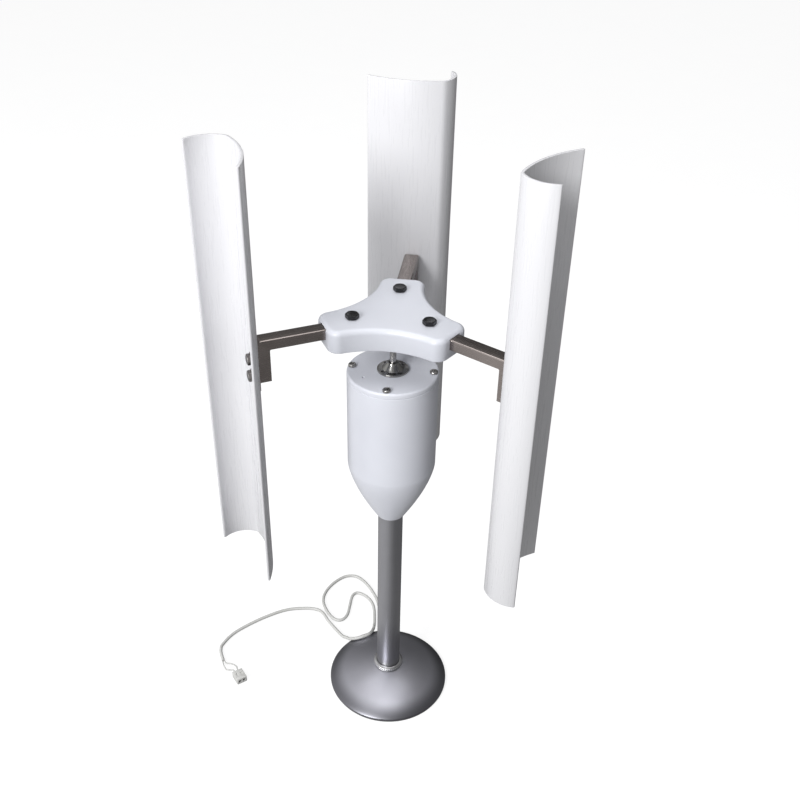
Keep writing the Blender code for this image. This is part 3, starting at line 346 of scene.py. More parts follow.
class Shader:
    """Builds one material's nodes."""

    def __init__(self, name, lay=True):
        self.material = bpy.data.materials.new(name)
        self.material.use_nodes = True
        self.tree = self.material.node_tree
        self.principled = self.tree.nodes["Principled BSDF"]
        if lay:
            source = self.tree.nodes.new("ShaderNodeAttribute")
            source.attribute_name = LAY
            self.coordinates = source.outputs["Vector"]
        else:
            self.coordinates = self.tree.nodes.new("ShaderNodeTexCoord").outputs["Object"]

    def link(self, value, socket):
        if isinstance(value, bpy.types.NodeSocket):
            self.tree.links.new(value, socket)
        else:
            socket.default_value = value

    def node(self, kind, settings=None, **inputs):
        node = self.tree.nodes.new(kind)
        for key, value in (settings or {}).items():
            setattr(node, key, value)
        for key, value in inputs.items():
            self.link(value, node.inputs[key.replace("_", " ")])
        return node

    def maths(self, operation, first, second=0.0):
        node = self.tree.nodes.new("ShaderNodeMath")
        node.operation = operation
        self.link(first, node.inputs[0])
        self.link(second, node.inputs[1])
        return node.outputs[0]

    def scaled(self, scale, source=None):
        """The piece's own coordinates, in millimetres, times a scale on each axis."""
        node = self.tree.nodes.new("ShaderNodeVectorMath")
        node.operation = "MULTIPLY"
        self.link(source or self.coordinates, node.inputs[0])
        node.inputs[1].default_value = [1000 * part for part in scale]
        return node.outputs[0]

    def noise(self, scale, detail=3.0, roughness=0.55, source=None):
        node = self.node("ShaderNodeTexNoise", Scale=1.0, Detail=detail, Roughness=roughness)
        self.link(self.scaled(scale, source), node.inputs["Vector"])
        return node.outputs["Fac"]

    def spread(self, value, low, high):
        """A 0 to 1 value, whose middle half is stretched to run from low to high."""
        node = self.node("ShaderNodeMapRange")
        self.link(value, node.inputs["Value"])
        node.inputs["From Min"].default_value = 0.3
        node.inputs["From Max"].default_value = 0.7
        node.inputs["To Min"].default_value = low
        node.inputs["To Max"].default_value = high
        return node.outputs[0]

    def blend(self, share, first, second):
        node = self.tree.nodes.new("ShaderNodeMix")
        node.data_type = "RGBA"
        self.link(share, node.inputs["Factor"])
        self.link((*first, 1.0) if isinstance(first, tuple) else first, node.inputs["A"])
        self.link((*second, 1.0) if isinstance(second, tuple) else second, node.inputs["B"])
        return node.outputs["Result"]

    def bump(self, height, strength, distance=0.1, under=None):
        node = self.node("ShaderNodeBump", Strength=strength, Distance=distance * MM)
        self.link(height, node.inputs["Height"])
        if under:
            self.link(under, node.inputs["Normal"])
        return node.outputs["Normal"]

    def set(self, **inputs):
        for key, value in inputs.items():
            name = key.replace("_", " ")
            if isinstance(value, tuple):
                value = (*value, 1.0)
            self.link(value, self.principled.inputs[name])
        return self.material


def axis_distance(shader):
    """How far a point is from the Z axis, in metres."""
    parts = shader.node("ShaderNodeSeparateXYZ", Vector=shader.coordinates)
    squares = [shader.maths("MULTIPLY", parts.outputs[i], parts.outputs[i]) for i in (0, 1)]
    return shader.maths("SQRT", shader.maths("ADD", *squares))


def moulded_white(name, colour, shade, grain, roughness):
    """Moulded plastic: a fine grain, faint cloudiness and a few dull patches."""
    shader = Shader(name)
    cloud = shader.spread(shader.noise((0.018, 0.018, 0.018), 2.0), 0.0, 1.0)
    speck = shader.spread(shader.noise((0.9, 0.9, 0.9), 2.0), 0.0, 1.0)
    base = shader.blend(cloud, colour, shade)
    dusty = shader.blend(shader.maths("MULTIPLY", speck, 0.10), base, tuple(0.9 * c for c in shade))
    wear = shader.spread(shader.noise((0.05, 0.05, 0.05), 4.0, 0.6), roughness - 0.05, roughness + 0.09)
    fine = shader.bump(shader.noise((3.5, 3.5, 3.5), 2.0), grain, 0.05)
    broad = shader.bump(shader.noise((0.04, 0.04, 0.04), 1.0), 0.06, 0.6, fine)
    shader.set(Base_Color=dusty, Roughness=wear, Normal=broad)
    return shader.set(Coat_Weight=0.12, Coat_Roughness=0.25)


def extruded_white(name, colour, shade):
    """Extruded plastic sheet: draw lines along its length, and light scuffs."""
    shader = Shader(name)
    cloud = shader.spread(shader.noise((0.02, 0.02, 0.006), 2.0), 0.0, 1.0)
    lines = shader.noise((1.4, 1.4, 0.004), 3.0)
    scuff = shader.spread(shader.noise((0.5, 0.5, 0.03), 5.0, 0.7), 0.0, 1.0)
    base = shader.blend(cloud, colour, shade)
    marked = shader.blend(shader.maths("MULTIPLY", scuff, 0.07), base, tuple(0.82 * c for c in shade))
    wear = shader.spread(scuff, 0.26, 0.40)
    fine = shader.bump(lines, 0.10, 0.05)
    broad = shader.bump(shader.noise((0.03, 0.03, 0.01), 1.0), 0.08, 0.9, fine)
    shader.set(Base_Color=marked, Roughness=wear, Normal=broad)
    return shader.set(Coat_Weight=0.15, Coat_Roughness=0.2)


def brushed_metal(name, colour, roughness, grain, strength=0.12, spun=False, blotch=0.12):
    """Metal with a directional grain.

    A spun one has rings about the Z axis, and its colour is darkened towards the base's rim with painted
    shade, in place of the dark surroundings that the steep rim reflects.
    """
    shader = Shader(name)
    if spun:
        rings = shader.node("ShaderNodeCombineXYZ", X=axis_distance(shader))
        streak = shader.noise((2.6, 1.0, 1.0), 4.0, 0.65, rings.outputs[0])
    else:
        streak = shader.noise(grain, 4.0, 0.65)
    patch = shader.spread(shader.noise((0.035, 0.035, 0.035), 3.0), 0.0, 1.0)
    marks = [shader.maths("MULTIPLY", streak, 0.35), shader.maths("MULTIPLY", patch, blotch)]
    level = shader.maths("ADD", *marks)
    dark = tuple(0.78 * c for c in colour)
    light = tuple(min(1.0, 1.22 * c) for c in colour)
    base = shader.blend(level, dark, light)
    if spun:
        # Painted shade: the colour darkens towards the rim, standing in for the dark surroundings that
        # the steep rim reflects.
        edge = shader.node("ShaderNodeMapRange", {"interpolation_type": "SMOOTHSTEP"})
        shader.link(axis_distance(shader), edge.inputs["Value"])
        edge.inputs["From Min"].default_value = PAINTED_RIM_SHADE_START * MM
        edge.inputs["From Max"].default_value = PAINTED_RIM_SHADE_END * MM
        base = shader.blend(edge.outputs[0], base, tuple(PAINTED_RIM_SHADE * c for c in colour))
    wear = shader.spread(streak, roughness - 0.05, roughness + 0.10)
    normal = shader.bump(streak, strength, 0.05)
    return shader.set(Base_Color=base, Metallic=1.0, Roughness=wear, Normal=normal)


def plain_metal(name, colour, roughness, scale=0.6, strength=0.05, metallic=1.0, lay=True):
    """Machined or plated metal, with fine marks and smudges."""
    shader = Shader(name, lay)
    marks = shader.noise((scale, scale, scale), 5.0, 0.65)
    smudge = shader.spread(shader.noise((0.08, 0.08, 0.08), 3.0), 0.0, 1.0)
    base = shader.blend(smudge, colour, tuple(0.82 * c for c in colour))
    wear = shader.spread(marks, roughness - 0.04, roughness + 0.10)
    normal = shader.bump(marks, strength, 0.05)
    return shader.set(Base_Color=base, Metallic=metallic, Roughness=wear, Normal=normal)


def rubber(name, colour):
    shader = Shader(name)
    grit = shader.noise((1.8, 1.8, 1.8), 4.0)
    base = shader.blend(shader.spread(grit, 0.0, 1.0), colour, tuple(1.8 * c for c in colour))
    return shader.set(Base_Color=base, Roughness=0.78, Normal=shader.bump(grit, 0.25, 0.06))


def banded(name, colour, dark, pitch, roughness, metallic):
    """A stack or a winding: thin bands along Z, each pitch millimetres high."""
    shader = Shader(name, lay=False)
    height = shader.node("ShaderNodeSeparateXYZ", Vector=shader.coordinates).outputs[2]
    wave = shader.maths("SINE", shader.maths("MULTIPLY", height, 2000 * math.pi / pitch))
    band = shader.maths("MULTIPLY_ADD", wave, 0.5)
    band.node.inputs[2].default_value = 0.5
    base = shader.blend(band, dark, colour)
    wear = shader.spread(shader.noise((0.4, 0.4, 0.4), 3.0), roughness, roughness + 0.15)
    normal = shader.bump(band, 0.4, 0.1)
    return shader.set(Base_Color=base, Metallic=metallic, Roughness=wear, Normal=normal)


BLADE_WHITE = extruded_white("blade_white", (0.69, 0.69, 0.71), (0.66, 0.66, 0.685))
HOUSING_WHITE = moulded_white("housing_white", (0.70, 0.715, 0.775), (0.665, 0.68, 0.74), 0.06, 0.36)
HUB_WHITE = moulded_white("hub_white", (0.62, 0.635, 0.69), (0.59, 0.605, 0.66), 0.08, 0.34)
CABLE_WHITE = moulded_white("cable_white", (0.58, 0.58, 0.57), (0.52, 0.52, 0.505), 0.10, 0.42)
PLUG_WHITE = moulded_white("plug_white", (0.60, 0.60, 0.585), (0.54, 0.54, 0.525), 0.08, 0.45)
TUBE_METAL = brushed_metal("tube_satin", (0.42, 0.42, 0.445), 0.34, (1.6, 1.6, 0.02))
BASE_METAL = brushed_metal("base_spun", (0.53, 0.53, 0.585), 0.37, None, 0.06, spun=True)
POLISHED = plain_metal("polished_steel", (0.62, 0.62, 0.63), 0.14, 0.5, 0.04)
ARM_METAL = brushed_metal("arm_steel", (0.34, 0.30, 0.285), 0.24, (0.05, 1.4, 1.4), 0.16, blotch=0.35)
FLANGE_STEEL = plain_metal("flange_steel", (0.34, 0.335, 0.325), 0.16, 0.45, 0.25)
BRIGHT_STEEL = plain_metal("bright_steel", (0.42, 0.41, 0.40), 0.24)
BLADE_BOLT_STEEL = plain_metal("blade_bolt_steel", (0.16, 0.15, 0.145), 0.3)
BLACK_STEEL = plain_metal("black_steel", (0.022, 0.022, 0.024), 0.22, 0.9, 0.10, 0.6)
BRASS = plain_metal("turned_brass", (0.66, 0.48, 0.20), 0.28, lay=False)
RACE_STEEL = plain_metal("race_steel", (0.60, 0.60, 0.61), 0.16, lay=False)
CORE_STEEL = plain_metal("core_steel", (0.40, 0.39, 0.38), 0.35, 0.9, 0.12, lay=False)
GRUB_STEEL = plain_metal("grub_steel", (0.012, 0.012, 0.014), 0.32, 0.9, 0.08, 0.6, lay=False)
BRACKET_METAL = plain_metal("bracket_metal", (0.52, 0.52, 0.54), 0.46, 1.2, 0.25, lay=False)
BLACK_RUBBER = rubber("black_rubber", (0.018, 0.018, 0.019))
CAST_METAL = plain_metal("cast_aluminium", (0.52, 0.52, 0.54), 0.46, 1.2, 0.25)
LAMINATED = banded("laminations", (0.26, 0.26, 0.28), (0.12, 0.12, 0.13), 0.5, 0.42, 1.0)
COPPER = banded("copper_winding", (0.62, 0.26, 0.11), (0.30, 0.10, 0.04), 0.7, 0.26, 0.9)
FERRITE = plain_metal("ferrite", (0.06, 0.06, 0.065), 0.55, 1.4, 0.15, 0.3, lay=False)


# ---------------------------------------------------------------- stand


def base_height(radius):
    rise = BASE_CROWN - BASE_LIP - BASE_LIP_HEIGHT
    share = 1 - (min(radius, BASE_RADIUS) / BASE_RADIUS) ** BASE_CROWN_POWER
    return BASE_LIP + BASE_LIP_HEIGHT + rise * share**BASE_RISE_POWER


def build_base():
    """The spun base, with a slot at the back of its edge for the cable."""
    steps = 56
    outer = []
    for step in range(steps + 1):
        radius = BASE_BORE + (BASE_RADIUS - BASE_BORE) * math.sin(math.pi / 2 * step / steps)
        outer.append((radius, base_height(radius)))
    inner_rim = BASE_RADIUS - BASE_WALL
    under = [(radius * inner_rim / BASE_RADIUS, height - BASE_WALL) for radius, height in outer[::4]]
    under[0] = (BASE_BORE, under[0][1])
    rim = arc((BASE_RADIUS - 1.0, BASE_LIP + 1.0), 1.0, 0.0, -math.pi, 10)
    rim[-1] = Vector((inner_rim, BASE_LIP + 1.0))
    stations = outer + [tuple(point) for point in rim] + under[::-1]
    shell = turned("base_dome", stations, 160, ring=True)
    half = GROMMET_OUTER + 0.1
    slot_low = (BASE_RADIUS - 9.5, -half, -1.0)
    slot_high = (BASE_RADIUS + 3.0, half, EXIT_HEIGHT + half)
    shell = cut(shell, [(block("slot", slot_low, slot_high, 1.2), turn(EXIT_TURN))])
    piece("base_dome", shell, BASE_METAL, STAND)


def build_base_fillings():
    """The rubber foot pad and the ballast disc, which close the base below."""
    profile = [
        (0.5, 0.0, 0),
        (FOOT_RADIUS, 0.0, 0.4),
        (FOOT_RADIUS, FOOT_HEIGHT, 0.3),
        (0.5, FOOT_HEIGHT, 0),
    ]
    foot = turned("foot_pad", rounded(profile, closed=False), 128)
    piece("foot_pad", foot, BLACK_RUBBER, STAND)
    profile = [
        (BASE_BORE, BALLAST_BOTTOM, 0.4),
        (BALLAST_RADIUS, BALLAST_BOTTOM, 0.8),
        (BALLAST_RADIUS, BALLAST_TOP, 0.8),
        (BASE_BORE, BALLAST_TOP, 0.4),
    ]
    ballast = turned("ballast_disc", rounded(profile), 96, ring=True)
    piece("ballast_disc", ballast, CAST_METAL, STAND)


def beaded(radius):
    """The radius of a ring, at each angle, with a row of beads round it."""
    return lambda angle: radius - BEAD_DEPTH * abs(math.sin(COLLAR_BEADS / 2 * angle)) ** 3


def build_tube():
    inner = TUBE_RADIUS - TUBE_WALL
    profile = [
        (inner, TUBE_BOTTOM, 0.2),
        (TUBE_RADIUS, TUBE_BOTTOM, 0.3),
        (TUBE_RADIUS, TUBE_TOP, 0.3),
        (inner, TUBE_TOP, 0.2),
    ]
    tube = turned("stand_tube", rounded(profile, steps=3), 96, ring=True)
    piece("stand_tube", tube, TUBE_METAL, STAND)


def build_collar():
    """The knurled ring round the foot of the tube."""
    profile = [
        (COLLAR_BORE, COLLAR_BOTTOM),
        (COLLAR_RADIUS - 0.3, COLLAR_BOTTOM),
        (COLLAR_RADIUS, 25.9),
        (beaded(COLLAR_RADIUS), 26.5),
        (beaded(COLLAR_RADIUS - 0.1), 28.2),
        (15.6, 28.8),
        (15.3, 29.0),
        (14.6, 29.6),
        (14.2, COLLAR_TOP),
        (COLLAR_BORE, COLLAR_TOP),
    ]
    collar = turned("base_collar", profile, SIDES_PER_BEAD * COLLAR_BEADS, ring=True)
    piece("base_collar", collar, POLISHED, STAND)


# ---------------------------------------------------------------- housing


def nose(height, radius):
    drop = (NOSE_CENTRE - height) / NOSE_HEIGHT
    return radius * (1 - max(0.0, drop) ** NOSE_POWER)


def nose_end(radius, widest):
    return NOSE_CENTRE - NOSE_HEIGHT * (1 - radius / widest) ** (1 / NOSE_POWER)


def screw_places():
    return [turn(COVER_TURN + math.pi / 2 * n) @ shift(SCREW_RING, 0, 0) for n in range(4)]


def build_housing():
    """The bullet-shaped shell, with a sleeve for the tube and four screw bosses."""
    inner_radius = HOUSING_RADIUS - HOUSING_WALL
    socket = TUBE_RADIUS + GAP
    lip, sleeve = socket + 1.5, socket + 3.0
    lowest = nose_end(lip, HOUSING_RADIUS)
    joint = nose_end(sleeve, inner_radius) + 3.0
    outer = [(HOUSING_RADIUS - 0.4, HOUSING_TOP), (HOUSING_RADIUS, HOUSING_TOP - 0.4)]
    outer.append((HOUSING_RADIUS, NOSE_CENTRE))
    inner = [(inner_radius, HOUSING_TOP), (inner_radius, NOSE_CENTRE)]
    steps = 40
    for step in range(1, steps + 1):
        share = step / steps
        height = NOSE_CENTRE + (lowest - NOSE_CENTRE) * share
        outer.append((nose(height, HOUSING_RADIUS), height))
        if step % 4 == 0:
            height = NOSE_CENTRE + (joint - NOSE_CENTRE) * share
            inner.append((nose(height, inner_radius), height))
    inner[-1] = (sleeve, joint)
    end = [
        (lip - 0.5, lowest - 0.15),
        (socket, lowest - 0.15),
        (socket, SOCKET_TOP),
        (sleeve, SOCKET_TOP),
    ]
    shell = turned("housing_shell", outer + end + inner[::-1], 128, ring=True)
    boss = turned("boss", [(BOSS_RADIUS, BOSS_BOTTOM), (BOSS_RADIUS, HOUSING_TOP - 4.0)], 24)
    hole = turned("hole", [(BOSS_BORE, BOSS_BOTTOM + 3.0), (BOSS_BORE, HOUSING_TOP)], 20)
    shell = cut(shell, [(boss, place) for place in screw_places()], operation="UNION")
    shell = cut(shell, [(hole, place) for place in screw_places()])
    piece("housing_shell", shell, HOUSING_WHITE, STAND)


def countersink(bottom, radius, mouth, rise):
    """A cutter for a hole from a height up to the cover's top, widened at its mouth."""
    stations = [
        (radius, bottom),
        (radius, COVER_TOP - rise),
        (mouth, COVER_TOP + 0.1),
        (mouth, COVER_TOP + 2.0),
    ]
    return turned("countersink", stations, 24)


def build_cover():
    """The housing's cover, with its four screws and a small vent."""
    rim = HOUSING_TOP + GAP
    spigot = HOUSING_RADIUS - HOUSING_WALL - GAP
    seat = BEARING_OUTER + GAP
    profile = [
        (4.5, BEARING_TOP, 0.2),
        (4.5, COVER_TOP, 0.3),
        (HOUSING_RADIUS, COVER_TOP, 2.0),
        (HOUSING_RADIUS, rim, 0.3),
        (spigot, rim, 0),
        (spigot, rim - 3.0, 0.3),
        (spigot - 2.0, rim - 3.0, 0.3),
        (spigot - 2.0, rim, 0),
        (13.0, rim, 0),
        (13.0, BEARING_SEAT, 0.3),
        (seat, BEARING_SEAT, 0.2),
        (seat, BEARING_TOP, 0),
    ]
    cover = turned("housing_cover", rounded(profile, steps=6), 128, ring=True)
    sink = countersink(400.5, 1.8, 2.3, 0.5)
    vent = countersink(406.5, 1.2, 1.6, 0.3)
    cutters = [(sink, place) for place in screw_places()]
    cutters.append((vent, turn(COVER_TURN + VENT_TURN) @ shift(VENT_RING, 0, 0)))
    piece("housing_cover", cut(cover, cutters), HOUSING_WHITE, STAND)
    screw = pan_screw(SCREW_HEAD, SCREW_HEIGHT, SCREW_SHANK, COVER_TOP + GAP, SCREW_TIP)
    for number, place in enumerate(screw_places()):
        piece(f"cover_screw_{number + 1}", screw, BRIGHT_STEEL, STAND, place)


def pan_screw(head, height, shank, under, tip):
    """A pan-head screw with a tapered cross recess."""
    top = under + height
    profile = [(shank * 0.5, tip), (shank * 0.8, tip + 1.0)]
    pitch = 0.5
    level = tip + 1.2
    while level < under - 0.8:
        profile += [(shank * 0.82, level), (shank, level + 0.5 * pitch)]
        level += pitch
    pan = [(shank * 0.9, under, 0), (head, under, 0.2), (head, top, 1.3), (0.3, top + 0.05, 0)]
    profile += rounded(pan, closed=False, steps=6)
    screw = turned("screw", profile, 40)
    low = rectangle((-0.35 * head, -0.22), (0.35 * head, 0.22))
    high = rectangle((-0.62 * head, -0.42), (0.62 * head, 0.42))
    recess = loft("recess", [(low, top - 1.2), (high, top + 0.3)])
    return cut(screw, [(recess, turn(angle)) for angle in (0.3, 0.3 + math.pi / 2)])


def build_flange():
    """The round flange and cone where the shaft leaves the cover, with four holes."""
    bottom = COVER_TOP + GAP
    rim, top = bottom + FLANGE_THICK, bottom + FLANGE_HEIGHT
    profile = [
        (FLANGE_BORE, bottom, 0.1),
        (FLANGE_RADIUS, bottom, 0.2),
        (FLANGE_RADIUS, rim, 0.5),
        (9.8, rim, 0.6),
        (5.7, top - 1.2, 0.5),
        (5.2, top, 0.3),
        (FLANGE_BORE, top, 0.2),
    ]
    flange = turned("bearing_flange", rounded(profile, steps=5), 96, ring=True)
    stations = [(1.2, bottom - 1.0), (1.2, rim - 0.5), (1.9, rim + 0.1), (1.9, rim + 1.2)]
    hole = turned("hole", stations, 24)
    cutters = []
    for number in range(4):
        around = turn(FLANGE_HOLE_TURN + math.pi / 2 * number)
        cutters.append((hole, around @ shift(FLANGE_HOLE_RING, 0, 0)))
    piece("bearing_flange", cut(flange, cutters), FLANGE_STEEL, STAND)


# ---------------------------------------------------------------- rotor


def lobe_outline():
    """Three lobes with round corners, joined by hollow waists, from two arc radii."""
    third = 2 * math.pi / BLADE_COUNT
    centre = (HUB_WAIST + HUB_WAIST_ARC) * direction(third / 2)
    corner_x = HUB_REACH - HUB_CORNER
    corner_y = centre.y - math.sqrt((HUB_WAIST_ARC + HUB_CORNER) ** 2 - (corner_x - centre.x) ** 2)
    touch = math.atan2(centre.y - corner_y, centre.x - corner_x)
    lobe = arc((corner_x, -corner_y), HUB_CORNER, -touch, 0.0, 14)
    lobe += arc((corner_x, corner_y), HUB_CORNER, 0.0, touch, 14)
    start = touch - math.pi
    waist = arc(centre, HUB_WAIST_ARC, start, third - 2 * math.pi - start, 40)[1:-1]
    outline = []
    for number in range(BLADE_COUNT):
        around = Matrix.Rotation(third * number, 2)
        outline += [around @ point for point in lobe + waist]
    return outline


def build_hub():
    """The lobed hub, with a bore for the bush and a pocket and a bolt hole for each arm."""
    rims = ((HUB_TOP, 5.0, 10), (HUB_BOTTOM, 1.0, 3))
    hub = extruded("hub", lobe_outline(), HUB_BOTTOM, HUB_TOP, rims)
    bore = turned("bore", [(HUB_BORE, HUB_BOTTOM - 1.0), (HUB_BORE, HUB_BORE_TOP)], 40)
    half = ARM_WIDTH / 2 + 0.4
    low, high = ARM_TOP - ARM_DEPTH - 0.4, ARM_TOP + 0.4
    pocket = block("pocket", (ARM_START - 1.0, -half, low), (HUB_REACH + 2.0, half, high))
    hole = turned("hole", [(BOLT_HOLE, HUB_BOTTOM - 2.0), (BOLT_HOLE, HUB_TOP + 2.0)], 32)
    cutters = [(bore, Matrix.Identity(4))]
    for number in range(BLADE_COUNT):
        around = turn(2 * math.pi * number / BLADE_COUNT)
        cutters += [(pocket, around), (hole, around @ shift(HUB_BOLT_RING, 0, 0))]
    piece("hub", cut(hub, cutters), HUB_WHITE, ROTOR, turn(ARM_TURN))


def build_hub_bolts():
    under, nut_top = HUB_TOP + GAP, HUB_BOTTOM - GAP
    bolt = hex_bolt(HUB_BOLT_FLATS, HUB_BOLT_HEAD, HUB_BOLT_RADIUS, under, HUB_BOLT_TIP, 1.0)
    nut = hex_nut(HUB_NUT_FLATS, HUB_BOLT_RADIUS, nut_top - HUB_NUT_HEIGHT, nut_top)
    for number in range(BLADE_COUNT):
        place = turn(arm_angle(number)) @ shift(HUB_BOLT_RING, 0, 0)
        turned_place = place @ turn(HUB_BOLT_TURN)
        piece(f"hub_bolt_{number + 1}", bolt, BLACK_STEEL, ROTOR, turned_place)
        piece(f"hub_nut_{number + 1}", nut, BLACK_STEEL, ROTOR, place)


def build_shaft():
    """The shaft, and the flanged bush that joins it to the hub."""
    profile = [
        (0.3, SHAFT_BOTTOM, 0),
        (SHAFT_RADIUS, SHAFT_BOTTOM, 0.5),
        (SHAFT_RADIUS, SHAFT_TOP, 0.5),
        (0.3, SHAFT_TOP, 0),
    ]
    shaft = turned("main_shaft", rounded(profile, closed=False), 48)
    piece("main_shaft", shaft, BRIGHT_STEEL, ROTOR)
    top = HUB_BOTTOM - GAP
    profile = [
        (BUSH_BORE, top - BUSH_LENGTH, 0.3),
        (BUSH_RADIUS, top - BUSH_LENGTH, 0.6),
        (BUSH_RADIUS, top - 2.0, 0.4),
        (BUSH_FLANGE, top - 2.0, 0.4),
        (BUSH_FLANGE, top, 0.3),
        (BUSH_SPIGOT, top, 0),
        (BUSH_SPIGOT, SHAFT_TOP, 0.4),
        (BUSH_BORE, SHAFT_TOP, 0.2),
    ]
    bush = turned("shaft_bush", rounded(profile, steps=3), 64, ring=True)
    hole = turned("hole", [(1.8, 0.0), (1.8, 6.0)], 24)
    place = turn(math.radians(30)) @ outward(2.0, top - 6.0)
    piece("shaft_bush", cut(bush, [(hole, place)]), BRIGHT_STEEL, ROTOR)


def hex_bolt(flats, head, radius, under, tip, pitch, flange=None):
    """A hexagon-head bolt with a chamfered head and thread ridges below.

    A flange is a radius: it adds a round washer face, made with the head.
    """
    top = under + head
    side = hexagon(flats)
    profile = [(radius * 0.3, tip), (radius * 0.74, tip), (radius * 0.86, tip + 0.5)]
    level = tip + 0.6
    while level < tip + 10.0 and level < under - 1.5:
        profile += [(radius * 0.85, level), (radius * 0.99, level + 0.5 * pitch)]
        level += pitch
    profile += [(radius * 0.99, level), (radius * 0.99, under)]
    if flange:
        profile += [(flange - 0.2, under), (flange, under + 0.2), (flange, under + 0.7)]
        profile += [(flange - 0.3, under + 1.0), (hexagon(flats, flats * 0.58), under + 1.35)]
        profile += [(side, under + 1.5), (side, top - 0.85)]
    else:
        profile += [(hexagon(flats, flats * 0.48), under), (hexagon(flats, flats * 0.555), under + 0.35)]
        profile += [(side, under + 0.7), (side, top - 0.85)]
    profile += [(hexagon(flats, flats * 0.56), top - 0.35), (flats * 0.485, top), (flats * 0.42, top)]
    profile += [(flats * 0.39, top - 0.18), (flats * 0.1, top - 0.18)]
    return turned("hex_bolt", profile, 48)


def hex_nut(flats, radius, bottom, top):
    side = hexagon(flats)
    bore = radius + 0.25
    profile = [
        (bore, bottom + 0.5),
        (bore + 0.5, bottom),
        (flats * 0.465, bottom),
        (hexagon(flats, flats * 0.54), bottom + 0.5),
        (side, bottom + 0.9),
        (side, top - 0.9),
        (hexagon(flats, flats * 0.54), top - 0.5),
        (flats * 0.465, top),
        (bore + 0.5, top),
        (bore, top - 0.5),
    ]
    return turned("hex_nut", profile, 48, ring=True)


def strip(inset, end):
    """The arm's fold, seen from its side: out along the arm, round the bend and down."""
    bend = ARM_BEND - inset
    face, top = ARM_FACE - inset, ARM_TOP - inset
    corner = arc((face - bend, top - bend), bend, math.pi / 2, 0.0, 10)
    return [Vector((ARM_START, top)), *corner, Vector((face, end))]


def arm_blank():
    """The arm before it is hollowed, lying on its side, with its folds rounded."""
    inner_face, floor = ARM_FACE - LEG_DEPTH, ARM_TOP - ARM_DEPTH
    walls = [
        Vector((ARM_FACE - ARM_SHEET, LEG_END)),
        Vector((ARM_FACE - ARM_SHEET, LEG_WALL_END)),
        Vector((inner_face, LEG_WALL_END)),
        Vector((inner_face, floor - 1.0)),
        Vector((inner_face - 0.3, floor - 0.3)),
        Vector((inner_face - 1.0, floor)),
        Vector((ARM_START, floor)),
    ]
    bm = raised(strip(0.0, LEG_END) + walls, -ARM_WIDTH / 2, ARM_WIDTH / 2)
    round_edges(bm, [edge for edge in bm.edges if is_fold(edge)], 1.6, 4)
    return mesh_of("arm", bm)


def is_fold(edge):
    """Whether an edge of the arm's blank runs along one of its two outer folds."""
    ends = [corner.co for corner in edge.verts]
    level = abs(ends[0].z - ends[1].z) < 1e-4
    on_fold = all(end.x > ARM_FACE - ARM_BEND - 0.1 or end.y > ARM_TOP - 0.01 for end in ends)
    on_skin = all(end.x > ARM_FACE - 0.01 or end.y > ARM_TOP - ARM_BEND - 0.1 for end in ends)
    return level and on_fold and on_skin and edge.calc_length() > 0.01


def arm_hollow():
    """The cutter that leaves the arm as folded sheet."""
    inside = ARM_WIDTH / 2 - ARM_SHEET
    inner_face, floor = ARM_FACE - LEG_DEPTH, ARM_TOP - ARM_DEPTH
    outline = strip(ARM_SHEET, LEG_END - 2.0)
    outline[0].x -= 2.0
    outline += [
        Vector((inner_face - 20.0, LEG_END - 2.0)),
        Vector((inner_face - 20.0, floor - 4.0)),
        Vector((ARM_START - 2.0, floor - 4.0)),
    ]
    return extruded("hollow", outline, -inside, inside)


def build_arms():
    """Folded channels, open below along the arm and open to the hub down the leg."""
    floor = ARM_TOP - ARM_DEPTH
    upright = Matrix.Rotation(math.pi / 2, 4, "X")
    bolt_hole = turned("hole", [(BOLT_HOLE, floor - 2.0), (BOLT_HOLE, ARM_TOP + 2.0)], 32)
    blade_hole = turned("hole", [(BLADE_HOLE, -4.0), (BLADE_HOLE, 4.0)], 32)
    cutters = [(arm_hollow(), upright), (bolt_hole, shift(HUB_BOLT_RING, 0, 0))]
    cutters += [(blade_hole, outward(ARM_FACE, height)) for _, height in BLADE_BOLT_HEIGHTS]
    arm = cut(arm_blank(), cutters, upright)
    arm.transform(upright)
    for number in range(BLADE_COUNT):
        piece(f"arm_{number + 1}", arm, ARM_METAL, ROTOR, turn(arm_angle(number)))


def blade_outline():
    """The blade's J section: a sheet of even thickness with rounded edges.

    The first and last arcs stop short by half the thickness, which their rounded ends add.
    """
    half = BLADE_WALL / 2
    first = math.radians(BLADE_HEADING)
    line, headings = [Vector(BLADE_EDGE) + half * direction(first)], [first]
    for number, (radius, sweep) in enumerate(BLADE_ARCS):
        shortened = half / radius if number in (0, len(BLADE_ARCS) - 1) else 0.0
        full = math.radians(sweep) - shortened
        steps = max(10, round(radius * full / 1.6))
        for _ in range(steps):
            turned_by = full / steps
            middle = headings[-1] + turned_by / 2
            chord = 2 * radius * math.sin(turned_by / 2)
            line.append(line[-1] + chord * direction(middle))
            headings.append(headings[-1] + turned_by)
    left, right = [], []
    for point, heading in zip(line, headings):
        normal = Vector((-math.sin(heading), math.cos(heading))) * half
        left.append(point + normal)
        right.append(point - normal)
    quarter = math.pi / 2
    far = arc(line[-1], half, headings[-1] + quarter, headings[-1] - quarter, 6)[1:-1]
    near = arc(line[0], half, headings[0] - quarter, headings[0] - 3 * quarter, 6)[1:-1]
    return left + far + right[::-1] + near


